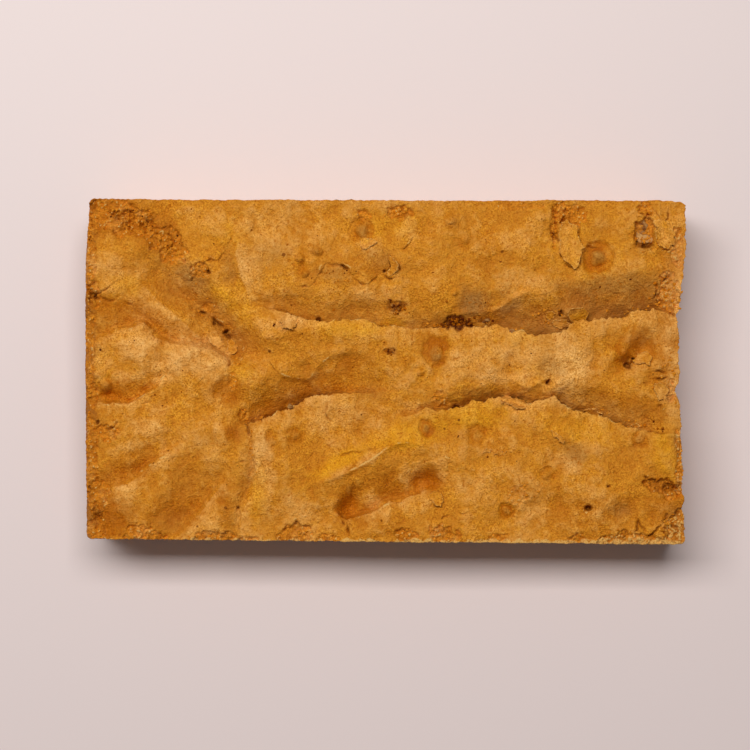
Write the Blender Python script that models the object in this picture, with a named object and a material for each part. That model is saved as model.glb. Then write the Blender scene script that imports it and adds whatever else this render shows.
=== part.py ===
"""A walnut blondie: one bar cut from a traybake, with a thin wrinkled crust over a dense crumb.

The bar lies flat on its base with its long side along X. Its left end is the browned end that
baked against the tin, and its other three sides are cut. All of it is one solid: the folds,
blisters, chips and broken corners of the crust are relief in its top.

Sizes are in millimetres and become metres when the mesh is made. The origin is the centre of
the base, +X runs along the bar and +Z is up.
"""

import math
from collections import namedtuple

import bmesh
import bpy
import numpy as np
from mathutils import noise

# Driving sizes of the bar, in millimetres
LENGTH = 132.0
WIDTH = 75.0
HEIGHT = 22.0

# How finely the bar is divided: cells along it, cells across it, and rings down its sides
CELLS_LONG = 84
CELLS_WIDE = 48
SIDE_LEVELS = (0.84, 0.6, 0.34, 0.06, 0.0)

METRES = 0.001
SEED = 4.7

# Each side of the bar in plan: (share of the way along the side, how far it stands out).
# Front and back run from the left end to the right, left and right run from front to back.
FRONT_EDGE = ((0.0, -0.5), (0.4, 0.0), (0.7, 0.3), (1.0, 0.8))
BACK_EDGE = ((0.0, 0.3), (0.15, 0.1), (0.6, -0.1), (0.95, 0.0), (1.0, -0.5))
LEFT_EDGE = ((0.0, -0.3), (0.3, 0.0), (0.6, 0.1), (0.85, -0.2), (1.0, -0.9))
RIGHT_EDGE = (
    (0.0, -0.1), (0.3, -0.9), (0.42, -1.4), (0.44, -2.4), (0.47, -1.3),
    (0.6, -1.3), (0.65, -1.9), (0.72, -1.0), (0.88, 0.3), (1.0, -0.2),
)  # fmt: skip

# A fold is a crease in the crust. To the left of its line the crust rolls down into the crease
# over slope, and to the right it climbs out over rise into a raised lip. Each point of the line
# is (x, y, strength), and strength scales the depth and the lip there.
Fold = namedtuple("Fold", "depth slope bend rise lip line")
FOLDS = {
    "upper fold, left half": Fold(3.8, 8.5, 1.6, 1.8, 0.6, (
        (-29, 15, 0), (-22, 13.2, 0.6), (-13.3, 11, 0.95), (-4.5, 11.3, 0.95), (0, 10.1, 0.85),
        (7.6, 9.5, 0.9), (14.6, 9.9, 1), (21, 9.8, 0.9), (27, 9.4, 0.3), (30, 9, 0))),
    "upper fold, right half": Fold(4.2, 9.0, 1.2, 1.8, 0.6, (
        (21, 10.6, 0), (26, 9.6, 0.7), (31.8, 8.6, 1), (37.4, 8.5, 1), (41.7, 10.8, 0.9),
        (47.2, 11.7, 1), (56, 13, 1), (60, 13.4, 0.8), (63, 13.4, 0))),
    "middle fold": Fold(4.2, 9.5, 1.35, 2.2, 0.7, (
        (-33.5, -12, 0), (-30, -11.2, 0.5), (-27.2, -10.6, 0.9), (-22.5, -8.8, 1),
        (-18.8, -6.8, 1), (-14, -5.1, 0.8), (-8.9, -4.2, 0.5), (-3, -4, 0.3), (3.2, -4.4, 0))),
    "lower fold, left half": Fold(3.4, 6, 1.35, 1.5, 0.7, (
        (0, -9.2, 0), (5, -8.9, 0.35), (10, -8.5, 0.5), (15, -8, 0.7), (20.8, -6.8, 1),
        (24.5, -5.9, 1), (28, -6.2, 1), (32.5, -6.6, 0.9), (36, -5.8, 0.6), (37.5, -5.2, 0))),
    "lower fold, right half": Fold(3.6, 6.5, 1.25, 1.6, 0.5, (
        (36.2, -4.4, 0), (38.5, -6.6, 0.8), (41, -8.2, 1), (45, -9.2, 1), (49, -10.5, 0.9),
        (52.7, -11.7, 0.8), (58.2, -13, 0.6), (63, -13, 0.2), (66, -12.8, 0))),
    "front hollow": Fold(3.7, 11, 1.3, 1.8, 0.7, (
        (-11.5, -30, 0), (-9.6, -31.4, 0.7), (-7.4, -32.1, 1), (-4.5, -31, 1), (-2.1, -30.1, 1),
        (0.6, -28.6, 1), (3.6, -28.2, 0.9), (6.5, -27.3, 0.7), (9.8, -25.7, 0.4),
        (13, -23.5, 0))),
    "left diagonal valley": Fold(3.4, 7, 1.3, 9, 0.1, (
        (-54, 26.5, 0), (-51.8, 24.2, 0.3), (-47.9, 20.2, 0.6), (-43, 15.8, 0.85),
        (-39.1, 12.3, 1), (-35.5, 8.8, 1), (-32.5, 5.3, 0.9), (-32, 2.5, 0.4), (-32.5, 0, 0))),
    "edge of the pale hump": Fold(1.8, 6, 1.5, 2.2, 0.8, (
        (-66, 6, 0.1), (-62.8, 8.4, 0.5), (-57.3, 9.7, 0.9), (-53.4, 11, 1), (-49.6, 7.9, 1),
        (-44.1, 6.6, 1), (-38.2, 5.7, 1), (-34.5, 3.5, 0.6), (-33, 1, 0))),
    "left end fold": Fold(2.7, 5.5, 1.3, 1.8, 0.6, (
        (-66, -6.8, 0.1), (-62, -6.6, 0.8), (-58.9, -6.4, 1), (-56.2, -6.2, 1),
        (-52.9, -4.6, 0.9), (-50.3, -2.4, 0.6), (-46.5, 0.5, 0))),
    "left front fold": Fold(2.6, 5.5, 1.3, 1.8, 0.6, (
        (-63.5, -24.8, 0), (-60.2, -24.4, 0.6), (-57.3, -23.8, 1), (-54.5, -22, 1),
        (-51.8, -19.8, 1), (-49, -17.6, 0.7), (-44.5, -14.2, 0))),
    "front corner fold": Fold(2.4, 6.5, 1.3, 2, 0.6, (
        (-49, -38, 0.3), (-47, -35.6, 0.6), (-43.9, -32.8, 1), (-41.5, -29.9, 1),
        (-39.1, -26.8, 0.9), (-36.9, -24.2, 0.6), (-33.5, -21.5, 0))),
    "long step": Fold(2.2, 5.5, 1.3, 1.5, 0.6, (
        (-32.7, -38, 0.6), (-32.2, -30.6, 0.8), (-30.7, -27.7, 1), (-29.8, -24.6, 1),
        (-28.9, -21.1, 1), (-30, -18.5, 0.9), (-29.6, -16.1, 0.8), (-29.9, -12.1, 0.5),
        (-31, -10, 0))),
    "back crease": Fold(0.8, 3, 1.5, 3, 0.1, (
        (-31, 12, 0), (-32, 16, 0.6), (-33.5, 20, 1), (-34.3, 24, 1), (-34.4, 26.8, 0.7),
        (-33.5, 30, 0))),
}  # fmt: skip

# A ridge is the other way up: a crest with crust falling away over left and right.
Ridge = namedtuple("Ridge", "height left right line")
RIDGES = {
    "front arc": Ridge(1.9, 6, 7, (
        (-16, -24.6, 0), (-10, -22.2, 0.8), (-6.7, -20, 1), (-3, -18.3, 1), (0.6, -16.5, 1),
        (3.6, -15.8, 0.9), (7.6, -16.1, 0.6), (12, -17.2, 0.3), (16, -19, 0))),
    "middle brow": Ridge(1.1, 5, 7, (
        (-30, 8, 0), (-24, 7.2, 0.8), (-16, 8.2, 1), (-8, 8.6, 1), (0, 6.5, 0.6), (6, 5, 0))),
}  # fmt: skip

# A mound is a soft swelling where height is above nought, and a dent where it is below.
Mound = namedtuple("Mound", "x y long wide height")
MOUNDS = {
    "pale hump": Mound(-41.3, 1.5, 9, 6, 1.2),
    "hump behind the middle fold": Mound(-28.7, -2.9, 5.5, 4.5, 1.0),
    "dark dent": Mound(-28.2, 3.2, 4, 2.8, -1.9),
    "dent left of the hump": Mound(-37.5, -4, 3.5, 4.5, -0.6),
    "dent in the back left": Mound(-56.2, 13.6, 4.5, 3, -0.8),
    "dent by the upper fold": Mound(-23.2, 15.4, 4, 2, -0.5),
    "nut under the back crust": Mound(-3.4, 22.9, 5.5, 3.2, 0.8),
    "middle plateau": Mound(16.4, 3.7, 20, 7, 0.6),
    "front plateau": Mound(38.4, -21.6, 24, 10, 1.1),
    "lump on the upper fold": Mound(41.4, 12.6, 3, 2.2, 1.9),
    "sunken hollow at the right": Mound(53.2, 3.0, 3.4, 3.2, -2.0),
    "dent over a nut": Mound(51.2, -30.4, 3, 2.4, -0.5),
    "dent beside the front hollow": Mound(10, -24.6, 2.8, 2.2, -0.7),
}

# A blister is a ring of sunken crust round a small dome.
Blister = namedtuple("Blister", "x y radius depth")
BLISTERS = (
    Blister(46.5, 25.3, 3.4, 0.9),
    Blister(10.9, 4.4, 2.3, 0.45),
    Blister(-33.8, -13.4, 2.7, 0.5),
    Blister(-61.3, -3.5, 2.0, 0.5),
    Blister(-4.5, 30.8, 2.0, 0.5),
)

# A chip is where the crust has broken away and the crumb shows lower down.
Chip = namedtuple("Chip", "x y long wide depth")
CHIPS = {
    "back left corner": Chip(-61, 34.5, 6, 3.4, 0.9),
    "back left patch": Chip(-54.5, 33.2, 3.5, 2.6, 0.9),
    "back left run": Chip(-49.5, 29.5, 3.8, 2.8, 1.0),
    "back left tail": Chip(-46.5, 26.0, 3.4, 2.2, 0.8),
    "nut hole at the back right": Chip(57.3, 31.0, 2.0, 4.4, 1.9),
    "crumbled right edge": Chip(62.4, 17.5, 2.6, 3.8, 1.1),
    "hole at the front right": Chip(60.4, -25.6, 4.2, 2.0, 2.0),
    "front right corner": Chip(65.2, -36.6, 5.4, 5.8, 1.4),
    "front right edge": Chip(56.0, -37.6, 5.0, 1.6, 1.1),
    "front left edge": Chip(-38.5, -36.6, 5.0, 1.7, 0.9),
    "front left corner": Chip(-55.0, -35.4, 4.4, 2.0, 0.8),
    "front edge, left of the hollow": Chip(-20, -35.6, 3.4, 2.2, 0.8),
    "front edge, right of the hollow": Chip(5.0, -35.8, 3.2, 2.2, 0.8),
    "front edge, middle": Chip(13.5, -34.8, 3.4, 2.8, 0.8),
    "front edge, right": Chip(41.8, -36.0, 2.8, 1.8, 0.8),
}

# The surface between these features: (size of a ripple, its height)
RIPPLES = ((13.0, 0.5), (5.0, 0.22))
CHIP_RAGGEDNESS = 4.0  # size of the bays in a chip's outline
CRUMB_SIZE = 3.6
CRUMB_ROUGHNESS = 0.3
SIDE_LUMP = 5.5
SIDE_ROUGHNESS = 0.3
TIN_ROLL = 2.2  # how far in from the left end the crust rolls over the edge
TIN_DROP = 1.3
TIN_TAPER = 0.9  # how far the tin leans in at the foot of the left end
FOOT_INSET = 0.35
RIGHT_INSET = 0.8  # where the middle of the right end's cut lies, in from the plain rectangle
BITE_FADE = 0.75  # how much of the right end's bites and notches is gone at the foot
SNAP_STRENGTH = 0.3  # creases fainter than this don't pull the grid onto themselves


def smooth_line(points, step=0.8):
    """A curve through the rows of points, as rows about step millimetres apart."""
    rows = np.array(points, float)
    rows = np.vstack([2 * rows[0] - rows[1], rows, 2 * rows[-1] - rows[-2]])
    made = [rows[1]]
    for before, start, end, after in zip(rows, rows[1:], rows[2:], rows[3:]):
        count = max(1, math.ceil(np.hypot(*(end - start)[:2]) / step))
        for t in np.arange(1, count + 1) / count:
            made.append(
                0.5
                * (
                    2 * start
                    + (end - before) * t
                    + (2 * before - 5 * start + 4 * end - after) * t**2
                    + (3 * start - before - 3 * end + after) * t**3
                )
            )
    return np.array(made)


def beside(line, x, y):
    """Each point's distance from the line, positive on its left, the line's strength there, and
    the place on the line that is nearest to the point."""
    nearest = np.full(x.shape, np.inf)
    side, strength, foot_x, foot_y = np.zeros((4,) + x.shape)
    for (ax, ay, a_strength), (bx, by, b_strength) in zip(line, line[1:]):
        run_x, run_y = bx - ax, by - ay
        length = max(run_x**2 + run_y**2, 1e-9)
        share = np.clip(((x - ax) * run_x + (y - ay) * run_y) / length, 0, 1)
        at_x, at_y = ax + share * run_x, ay + share * run_y
        distance = np.hypot(x - at_x, y - at_y)
        closer = distance < nearest
        nearest = np.where(closer, distance, nearest)
        side = np.where(closer, np.sign(run_x * (y - ay) - run_y * (x - ax)), side)
        strength = np.where(closer, a_strength + share * (b_strength - a_strength), strength)
        foot_x = np.where(closer, at_x, foot_x)
        foot_y = np.where(closer, at_y, foot_y)
    return nearest * side, np.clip(strength, 0, None), foot_x, foot_y


def fold_relief(fold, x, y):
    """How far a fold lowers the crust, with the lip beyond its crease."""
    distance, strength, _, _ = beside(smooth_line(fold.line), x, y)
    rolled = (1 - np.clip(distance / fold.slope, 0, 1)) ** fold.bend
    climbed = (1 - np.clip(-distance / fold.rise, 0, 1)) ** 2
    lip_share = np.clip(-distance / (3 * fold.rise), 0, 1)
    down = np.where(distance >= 0, rolled, climbed)
    return strength * (fold.lip * np.sin(math.pi * lip_share) - fold.depth * down)


def ridge_relief(ridge, x, y):
    """How far a ridge raises the crust."""
    distance, strength, _, _ = beside(smooth_line(ridge.line), x, y)
    reach = np.where(distance >= 0, ridge.left, ridge.right)
    return strength * ridge.height * (1 - np.clip(np.abs(distance) / reach, 0, 1)) ** 1.6


def mound_relief(mound, x, y):
    """How far a mound raises the crust, or a dent lowers it."""
    away = ((x - mound.x) / mound.long) ** 2 + ((y - mound.y) / mound.wide) ** 2
    return mound.height * np.exp(-1.4 * away)


def blister_relief(blister, x, y):
    """A sunken ring round a dome that comes back almost to the crust's level."""
    away = np.hypot(x - blister.x, y - blister.y) / blister.radius
    dome = 0.9 * np.exp(-((away / 0.42) ** 2))
    return blister.depth * (dome - np.exp(-((away / 0.85) ** 4)))


def chip_share(chip, x, y):
    """1 where a chip has bared the crumb and 0 where the crust is whole, with a ragged edge."""
    away = np.hypot((x - chip.x) / chip.long, (y - chip.y) / chip.wide)
    ragged = away + 0.3 * ripple(x, y, CHIP_RAGGEDNESS, SEED + chip.x)
    return np.clip((1.12 - ragged) / 0.3, 0, 1)


def ripple(x, y, size, seed):
    """Smooth noise from about -1 to 1, whose bumps are about size millimetres across."""
    places = np.column_stack([x.ravel() / size, y.ravel() / size])
    made = [2 * noise.noise((across, along, seed)) for across, along in places]
    return np.array(made).reshape(x.shape)


def relief(x, y):
    """The height of the top above the bar's nominal height, in millimetres."""
    made = sum(height * ripple(x, y, size, SEED) for size, height in RIPPLES)
    made += sum(fold_relief(fold, x, y) for fold in FOLDS.values())
    made += sum(ridge_relief(ridge, x, y) for ridge in RIDGES.values())
    made += sum(mound_relief(mound, x, y) for mound in MOUNDS.values())
    made += sum(blister_relief(blister, x, y) for blister in BLISTERS)
    crumbs = CRUMB_ROUGHNESS * ripple(x, y, CRUMB_SIZE, SEED + 1)
    for chip in CHIPS.values():
        made += chip_share(chip, x, y) * (crumbs - chip.depth)
    from_tin = np.clip((x + LENGTH / 2) / TIN_ROLL, 0, 1)
    return made - TIN_DROP * (1 - from_tin) ** 2


def stands_out(edge, share):
    """How far a side stands out of the plain rectangle at each share of its length."""
    shares, outs = zip(*edge)
    return np.interp(share, shares, outs)


def in_plan(across, along):
    """Moves points of the plain rectangle to the bar's true, slightly uneven outline."""
    long_share = np.clip(across / LENGTH + 0.5, 0, 1)
    wide_share = np.clip(along / WIDTH + 0.5, 0, 1)
    left = stands_out(LEFT_EDGE, wide_share)
    right = stands_out(RIGHT_EDGE, wide_share)
    front = stands_out(FRONT_EDGE, long_share)
    back = stands_out(BACK_EDGE, long_share)
    x = across - left * (1 - long_share) ** 6 + right * long_share**6
    y = along - front * (1 - wide_share) ** 6 + back * wide_share**6
    return x, y


def onto_creases(x, y, free):
    """Moves each free point that is next to a crease onto it, so that the crease stays sharp."""
    x, y, free = x.copy(), y.copy(), free.copy()
    for fold in FOLDS.values():
        distance, strength, foot_x, foot_y = beside(smooth_line(fold.line), x, y)
        near = free & (np.abs(distance) < LENGTH / CELLS_LONG / 2) & (strength > SNAP_STRENGTH)
        x[near], y[near] = foot_x[near], foot_y[near]
        free &= ~near
    return x, y


def make_top(mesh):
    """A grid the size of the bar, bent to its outline and raised to its relief."""
    bmesh.ops.create_grid(mesh, x_segments=CELLS_LONG, y_segments=CELLS_WIDE, size=0.5)
    flat = np.array([vertex.co[:2] for vertex in mesh.verts])
    x, y = in_plan(flat[:, 0] * LENGTH, flat[:, 1] * WIDTH)
    inside = np.array([not vertex.is_boundary for vertex in mesh.verts])
    x, y = onto_creases(x, y, inside)
    z = HEIGHT + relief(x, y)
    for vertex, place in zip(mesh.verts, np.column_stack([x, y, z])):
        vertex.co = place


def side_ring(rim, outward, level):
    """The rim's points moved down to a share of the height, with the crumb's unevenness."""
    made = rim.copy()
    made[:, 2] = rim[:, 2] * level
    edge_run = rim[:, 0] + rim[:, 1]
    uneven = SIDE_ROUGHNESS * ripple(edge_run, made[:, 2], SIDE_LUMP, SEED + 2)
    on_tin, on_right = outward[:, 0] < -0.5, outward[:, 0] > 0.5
    in_by = np.full(len(rim), FOOT_INSET if level == 0 else 0.0)
    in_by += np.where(on_tin, TIN_TAPER * (1 - level), 0)
    uneven[on_tin] *= 0.4
    made[:, :2] += outward * (uneven - in_by)[:, None]
    bite = rim[:, 0] - (LENGTH / 2 - RIGHT_INSET)
    made[:, 0] -= np.where(on_right, bite * BITE_FADE * (1 - level), 0)
    return made


def outward_of(rim):
    """The level direction that faces out of the bar at each point of the rim."""
    from_edge = np.abs(np.abs(rim[:, :2]) - (LENGTH / 2, WIDTH / 2))
    on_end = from_edge[:, 0] < from_edge[:, 1]
    facing = np.where(on_end[:, None], (1.0, 0.0), (0.0, 1.0)) * np.sign(rim[:, :2])
    corner = from_edge.max(axis=1) < 3.0
    facing[corner] = np.sign(rim[corner, :2]) * math.sqrt(0.5)
    return facing


def make_sides(mesh):
    """Rings of crumb from the rim down to the base, closed by a flat face."""
    rim_edges = [edge for edge in mesh.edges if edge.is_boundary]
    rim_verts = sorted({v for edge in rim_edges for v in edge.verts}, key=lambda v: v.index)
    rim = np.array([vertex.co for vertex in rim_verts])
    outward = outward_of(rim)
    order = {vertex: place for place, vertex in enumerate(rim_verts)}
    edges = rim_edges
    for level in SIDE_LEVELS:
        made = bmesh.ops.extrude_edge_only(mesh, edges=edges)["geom"]
        new_verts = [part for part in made if isinstance(part, bmesh.types.BMVert)]
        edges = [part for part in made if isinstance(part, bmesh.types.BMEdge)]
        edges = [edge for edge in edges if edge.is_boundary]
        ring = side_ring(rim, outward, level)
        places = {}
        for vertex in new_verts:
            above = next(
                edge.other_vert(vertex)
                for edge in vertex.link_edges
                if edge.other_vert(vertex) in order
            )
            places[vertex] = order[above]
            vertex.co = ring[order[above]]
        order = places
    base = bmesh.ops.contextual_create(mesh, geom=edges)["faces"]
    bmesh.ops.triangulate(mesh, faces=base)


def centre_in_plan(mesh):
    """Puts the middle of the bar's box over the origin, and turns millimetres into metres."""
    places = np.array([vertex.co for vertex in mesh.verts])
    middle = (places.min(axis=0) + places.max(axis=0)) / 2
    middle[2] = places[:, 2].min()
    for vertex, place in zip(mesh.verts, places):
        vertex.co = (place - middle) * METRES


def baked_material():
    """Golden crust: matt, a little warm, with no metal in it."""
    made = bpy.data.materials.new("golden_crust")
    made.use_nodes = True
    shader = made.node_tree.nodes["Principled BSDF"]
    shader.inputs["Base Color"].default_value = (0.56, 0.27, 0.065, 1)
    shader.inputs["Roughness"].default_value = 0.62
    shader.inputs["Metallic"].default_value = 0.0
    return made


def make_blondie(collection):
    """The whole bar, as one closed solid."""
    mesh = bmesh.new()
    make_top(mesh)
    mesh.verts.index_update()
    make_sides(mesh)
    bmesh.ops.triangulate(mesh, faces=mesh.faces, quad_method="SHORT_EDGE")
    bmesh.ops.recalc_face_normals(mesh, faces=mesh.faces)
    centre_in_plan(mesh)
    data = bpy.data.meshes.new("blondie")
    mesh.to_mesh(data)
    mesh.free()
    data.materials.append(baked_material())
    data.shade_smooth()
    data.set_sharp_from_angle(angle=math.radians(50))
    collection.objects.link(bpy.data.objects.new("blondie", data))


def main():
    for old in list(bpy.data.objects):
        bpy.data.objects.remove(old)
    collection = bpy.data.collections.new("walnut_blondie")
    bpy.context.scene.collection.children.link(collection)
    make_blondie(collection)


main()
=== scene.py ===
"""Looks of the walnut blondie: a baked bar whose thin golden crust has folded, blistered and cracked
over a dense, moist crumb with walnuts in it.

The bar is worked out in millimetres in its plan, where X runs along the bar from its browned end,
Y runs across it and Z is up from the base. in_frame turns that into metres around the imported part.
"""

import math
from collections import namedtuple

import bmesh
import bpy
import numpy as np
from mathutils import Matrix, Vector, noise


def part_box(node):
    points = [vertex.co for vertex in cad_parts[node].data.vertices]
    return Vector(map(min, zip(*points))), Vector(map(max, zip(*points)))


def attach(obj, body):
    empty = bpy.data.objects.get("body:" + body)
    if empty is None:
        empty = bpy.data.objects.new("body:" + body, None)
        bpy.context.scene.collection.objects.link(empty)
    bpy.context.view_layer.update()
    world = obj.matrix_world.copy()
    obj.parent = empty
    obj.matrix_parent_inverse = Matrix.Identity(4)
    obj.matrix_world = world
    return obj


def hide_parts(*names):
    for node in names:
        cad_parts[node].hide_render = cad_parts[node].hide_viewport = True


bl_info = {
    "name": "Walnut Blondie",
    "version": (1, 0, 0),
    "blender": (4, 5, 0),
    "location": "View3D > Sidebar > Blondie",
    "description": "Builds a bar of walnut blondie, crust, crumb, nuts and all, around its plain solid",
    "category": "Add Mesh",
}

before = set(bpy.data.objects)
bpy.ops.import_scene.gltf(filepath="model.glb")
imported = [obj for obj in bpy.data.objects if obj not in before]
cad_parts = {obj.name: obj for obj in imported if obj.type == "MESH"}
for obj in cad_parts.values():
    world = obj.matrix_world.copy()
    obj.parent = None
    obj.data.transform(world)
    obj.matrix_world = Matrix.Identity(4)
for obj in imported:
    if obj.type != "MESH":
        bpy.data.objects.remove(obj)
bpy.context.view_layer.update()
SOLID_LOW, SOLID_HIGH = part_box("blondie")

MM = 0.001
SEED = 4.7  # ripples that should differ add different numbers to it
PLAN_MIDDLE = (0.08, -0.24)  # where the middle of the solid's box lies in the plan, in mm


def linear(hex_colour):
    """An sRGB colour written as hex, as the linear RGBA that a shader takes."""
    parts = [int(hex_colour[place : place + 2], 16) / 255 for place in (1, 3, 5)]
    curved = [part / 12.92 if part <= 0.04045 else ((part + 0.055) / 1.055) ** 2.4 for part in parts]
    return (*curved, 1.0)


# The bar's outline and relief, in millimetres

LENGTH = 132.0
WIDTH = 75.0
HEIGHT = 22.0
CORNER_RADIUS = 1.2

# Each side in plan: (share of the way along the side, how far it stands out of the rectangle).
# Front and back run from the left end to the right, left and right run from front to back.
FRONT_EDGE = ((0.0, -0.5), (0.4, 0.0), (0.7, 0.3), (1.0, 0.8))
BACK_EDGE = ((0.0, 0.3), (0.15, 0.1), (0.6, -0.1), (0.95, 0.0), (1.0, -0.5))
LEFT_EDGE = ((0.0, -0.3), (0.3, 0.0), (0.6, 0.1), (0.85, -0.2), (1.0, -0.9))
RIGHT_EDGE = (
    (0.0, -0.1), (0.3, -0.9), (0.42, -1.4), (0.44, -2.4), (0.47, -1.3),
    (0.6, -1.3), (0.65, -1.9), (0.72, -1.0), (0.88, 0.3), (1.0, -0.2),
)  # fmt: skip

# A fold is a crease in the crust. To the left of its line the crust rolls down into the crease
# over slope, and to the right it climbs out over rise into a raised lip, whose edge hangs back
# over the crease as far as the line. Bend says how hollow the slope is, lip how high the lip stands
# and overhang how far it hangs. Toast and stain say how much browner and greyer the slope is
# painted: partly moister crust and partly painted shade on the slope. Each point of the
# line is (x, y, strength), and strength scales the depth and the lip.
Fold = namedtuple("Fold", "depth slope bend rise lip overhang toast stain line")
FOLDS = {
    "upper fold, left half": Fold(3.2, 9, 1.8, 1.0, 0.6, 1.6, 0, 0.2, (
        (-29, 15, 0), (-22, 13.2, 0.6), (-13.3, 11, 0.95), (-4.5, 11.3, 0.95), (0, 10.1, 0.85),
        (7.6, 9.5, 0.9), (14.6, 9.9, 1), (21, 9.8, 0.9), (27, 9.4, 0.3), (30, 9, 0))),
    "upper fold, right half": Fold(4.7, 9.5, 1.15, 1.0, 0.7, 1.8, 0.6, 0.55, (
        (21, 10.6, 0), (26, 9.6, 0.7), (31.8, 8.6, 1), (37.4, 8.5, 1), (41.7, 10.8, 0.9),
        (47.2, 11.7, 1), (56, 13, 1), (60, 13.4, 0.8), (63, 13.4, 0))),
    "middle fold": Fold(4.9, 9, 1.35, 1.1, 0.8, 1.6, 0.65, 0.1, (
        (-33.5, -12, 0), (-30, -11.2, 0.5), (-27.2, -10.6, 0.9), (-22.5, -8.8, 1),
        (-18.8, -6.8, 1), (-14, -5.1, 0.8), (-8.9, -4.2, 0.5), (-3, -4, 0.3), (3.2, -4.4, 0))),
    "lower fold, left half": Fold(3.2, 3.8, 1.4, 1.0, 0.5, 1.6, 0.35, 0.35, (
        (0, -9.2, 0), (5, -8.9, 0.35), (10, -8.5, 0.5), (15, -8, 0.7), (20.8, -6.8, 1),
        (24.5, -5.9, 1), (28, -6.2, 1), (32.5, -6.6, 0.9), (36, -5.8, 0.6), (37.5, -5.2, 0))),
    "lower fold, right half": Fold(3.8, 6, 1.2, 1.0, 0.4, 1.5, 0.25, 0.4, (
        (36.2, -4.4, 0), (38.5, -6.6, 0.8), (41, -8.2, 1), (45, -9.2, 1), (49, -10.5, 0.9),
        (52.7, -11.7, 0.8), (58.2, -13, 0.6), (63, -13, 0.2), (66, -12.8, 0))),
    "front hollow": Fold(2.5, 9, 1.5, 1.4, 0.5, 0.8, 0.3, 0, (
        (-11.5, -30, 0), (-9.6, -31.4, 0.7), (-7.4, -32.1, 1), (-4.5, -31, 1), (-2.1, -30.1, 1),
        (0.6, -28.6, 1), (3.6, -28.2, 0.9), (6.5, -27.3, 0.7), (9.8, -25.7, 0.4),
        (13, -23.5, 0))),
    "left diagonal valley": Fold(4.3, 6.5, 1.15, 8, 0.1, 0, 0.35, 0.35, (
        (-54, 26.5, 0), (-51.8, 24.2, 0.3), (-47.9, 20.2, 0.6), (-43, 15.8, 0.85),
        (-39.1, 12.3, 1), (-35.5, 8.8, 1), (-32.5, 5.3, 0.9), (-32, 2.5, 0.4), (-32.5, 0, 0))),
    "edge of the pale hump": Fold(2.0, 5.5, 1.4, 1.6, 1.1, 0, 0.2, 0.15, (
        (-66, 6, 0.1), (-62.8, 8.4, 0.5), (-57.3, 9.7, 0.9), (-53.4, 11, 1), (-49.6, 7.9, 1),
        (-44.1, 6.6, 1), (-38.2, 5.7, 1), (-34.5, 3.5, 0.6), (-33, 1, 0))),
    "left end fold": Fold(2.3, 4.4, 1.2, 1.3, 0.3, 0.4, 0.4, 0, (
        (-66, -6.8, 0.1), (-62, -6.6, 0.8), (-58.9, -6.4, 1), (-56.2, -6.2, 1),
        (-52.9, -4.6, 0.9), (-50.3, -2.4, 0.6), (-46.5, 0.5, 0))),
    "left front fold": Fold(1.7, 4.8, 1.2, 1.8, 0.5, 0, 0.2, 0.1, (
        (-63.5, -24.8, 0), (-60.2, -24.4, 0.6), (-57.3, -23.8, 1), (-54.5, -22, 1),
        (-51.8, -19.8, 1), (-49, -17.6, 0.7), (-44.5, -14.2, 0))),
    "front corner fold": Fold(1.9, 7.5, 1.2, 2.4, 0.4, 0, 0.25, 0.1, (
        (-49, -38, 0.3), (-47, -35.6, 0.6), (-43.9, -32.8, 1), (-41.5, -29.9, 1),
        (-39.1, -26.8, 0.9), (-36.9, -24.2, 0.6), (-33.5, -21.5, 0))),
    "long step": Fold(1.0, 2.8, 1.2, 1.4, 0.5, 0, 0.1, 0.2, (
        (-32.7, -38, 0.6), (-32.2, -30.6, 0.8), (-30.7, -27.7, 1), (-29.8, -24.6, 1),
        (-28.9, -21.1, 1), (-30, -18.5, 0.9), (-29.6, -16.1, 0.8), (-29.9, -12.1, 0.5),
        (-31, -10, 0))),
    "back crease": Fold(0.8, 3, 1.5, 3, 0.1, 0, 0, 0.3, (
        (-31, 12, 0), (-32, 16, 0.6), (-33.5, 20, 1), (-34.3, 24, 1), (-34.4, 26.8, 0.7),
        (-33.5, 30, 0))),
}  # fmt: skip
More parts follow.
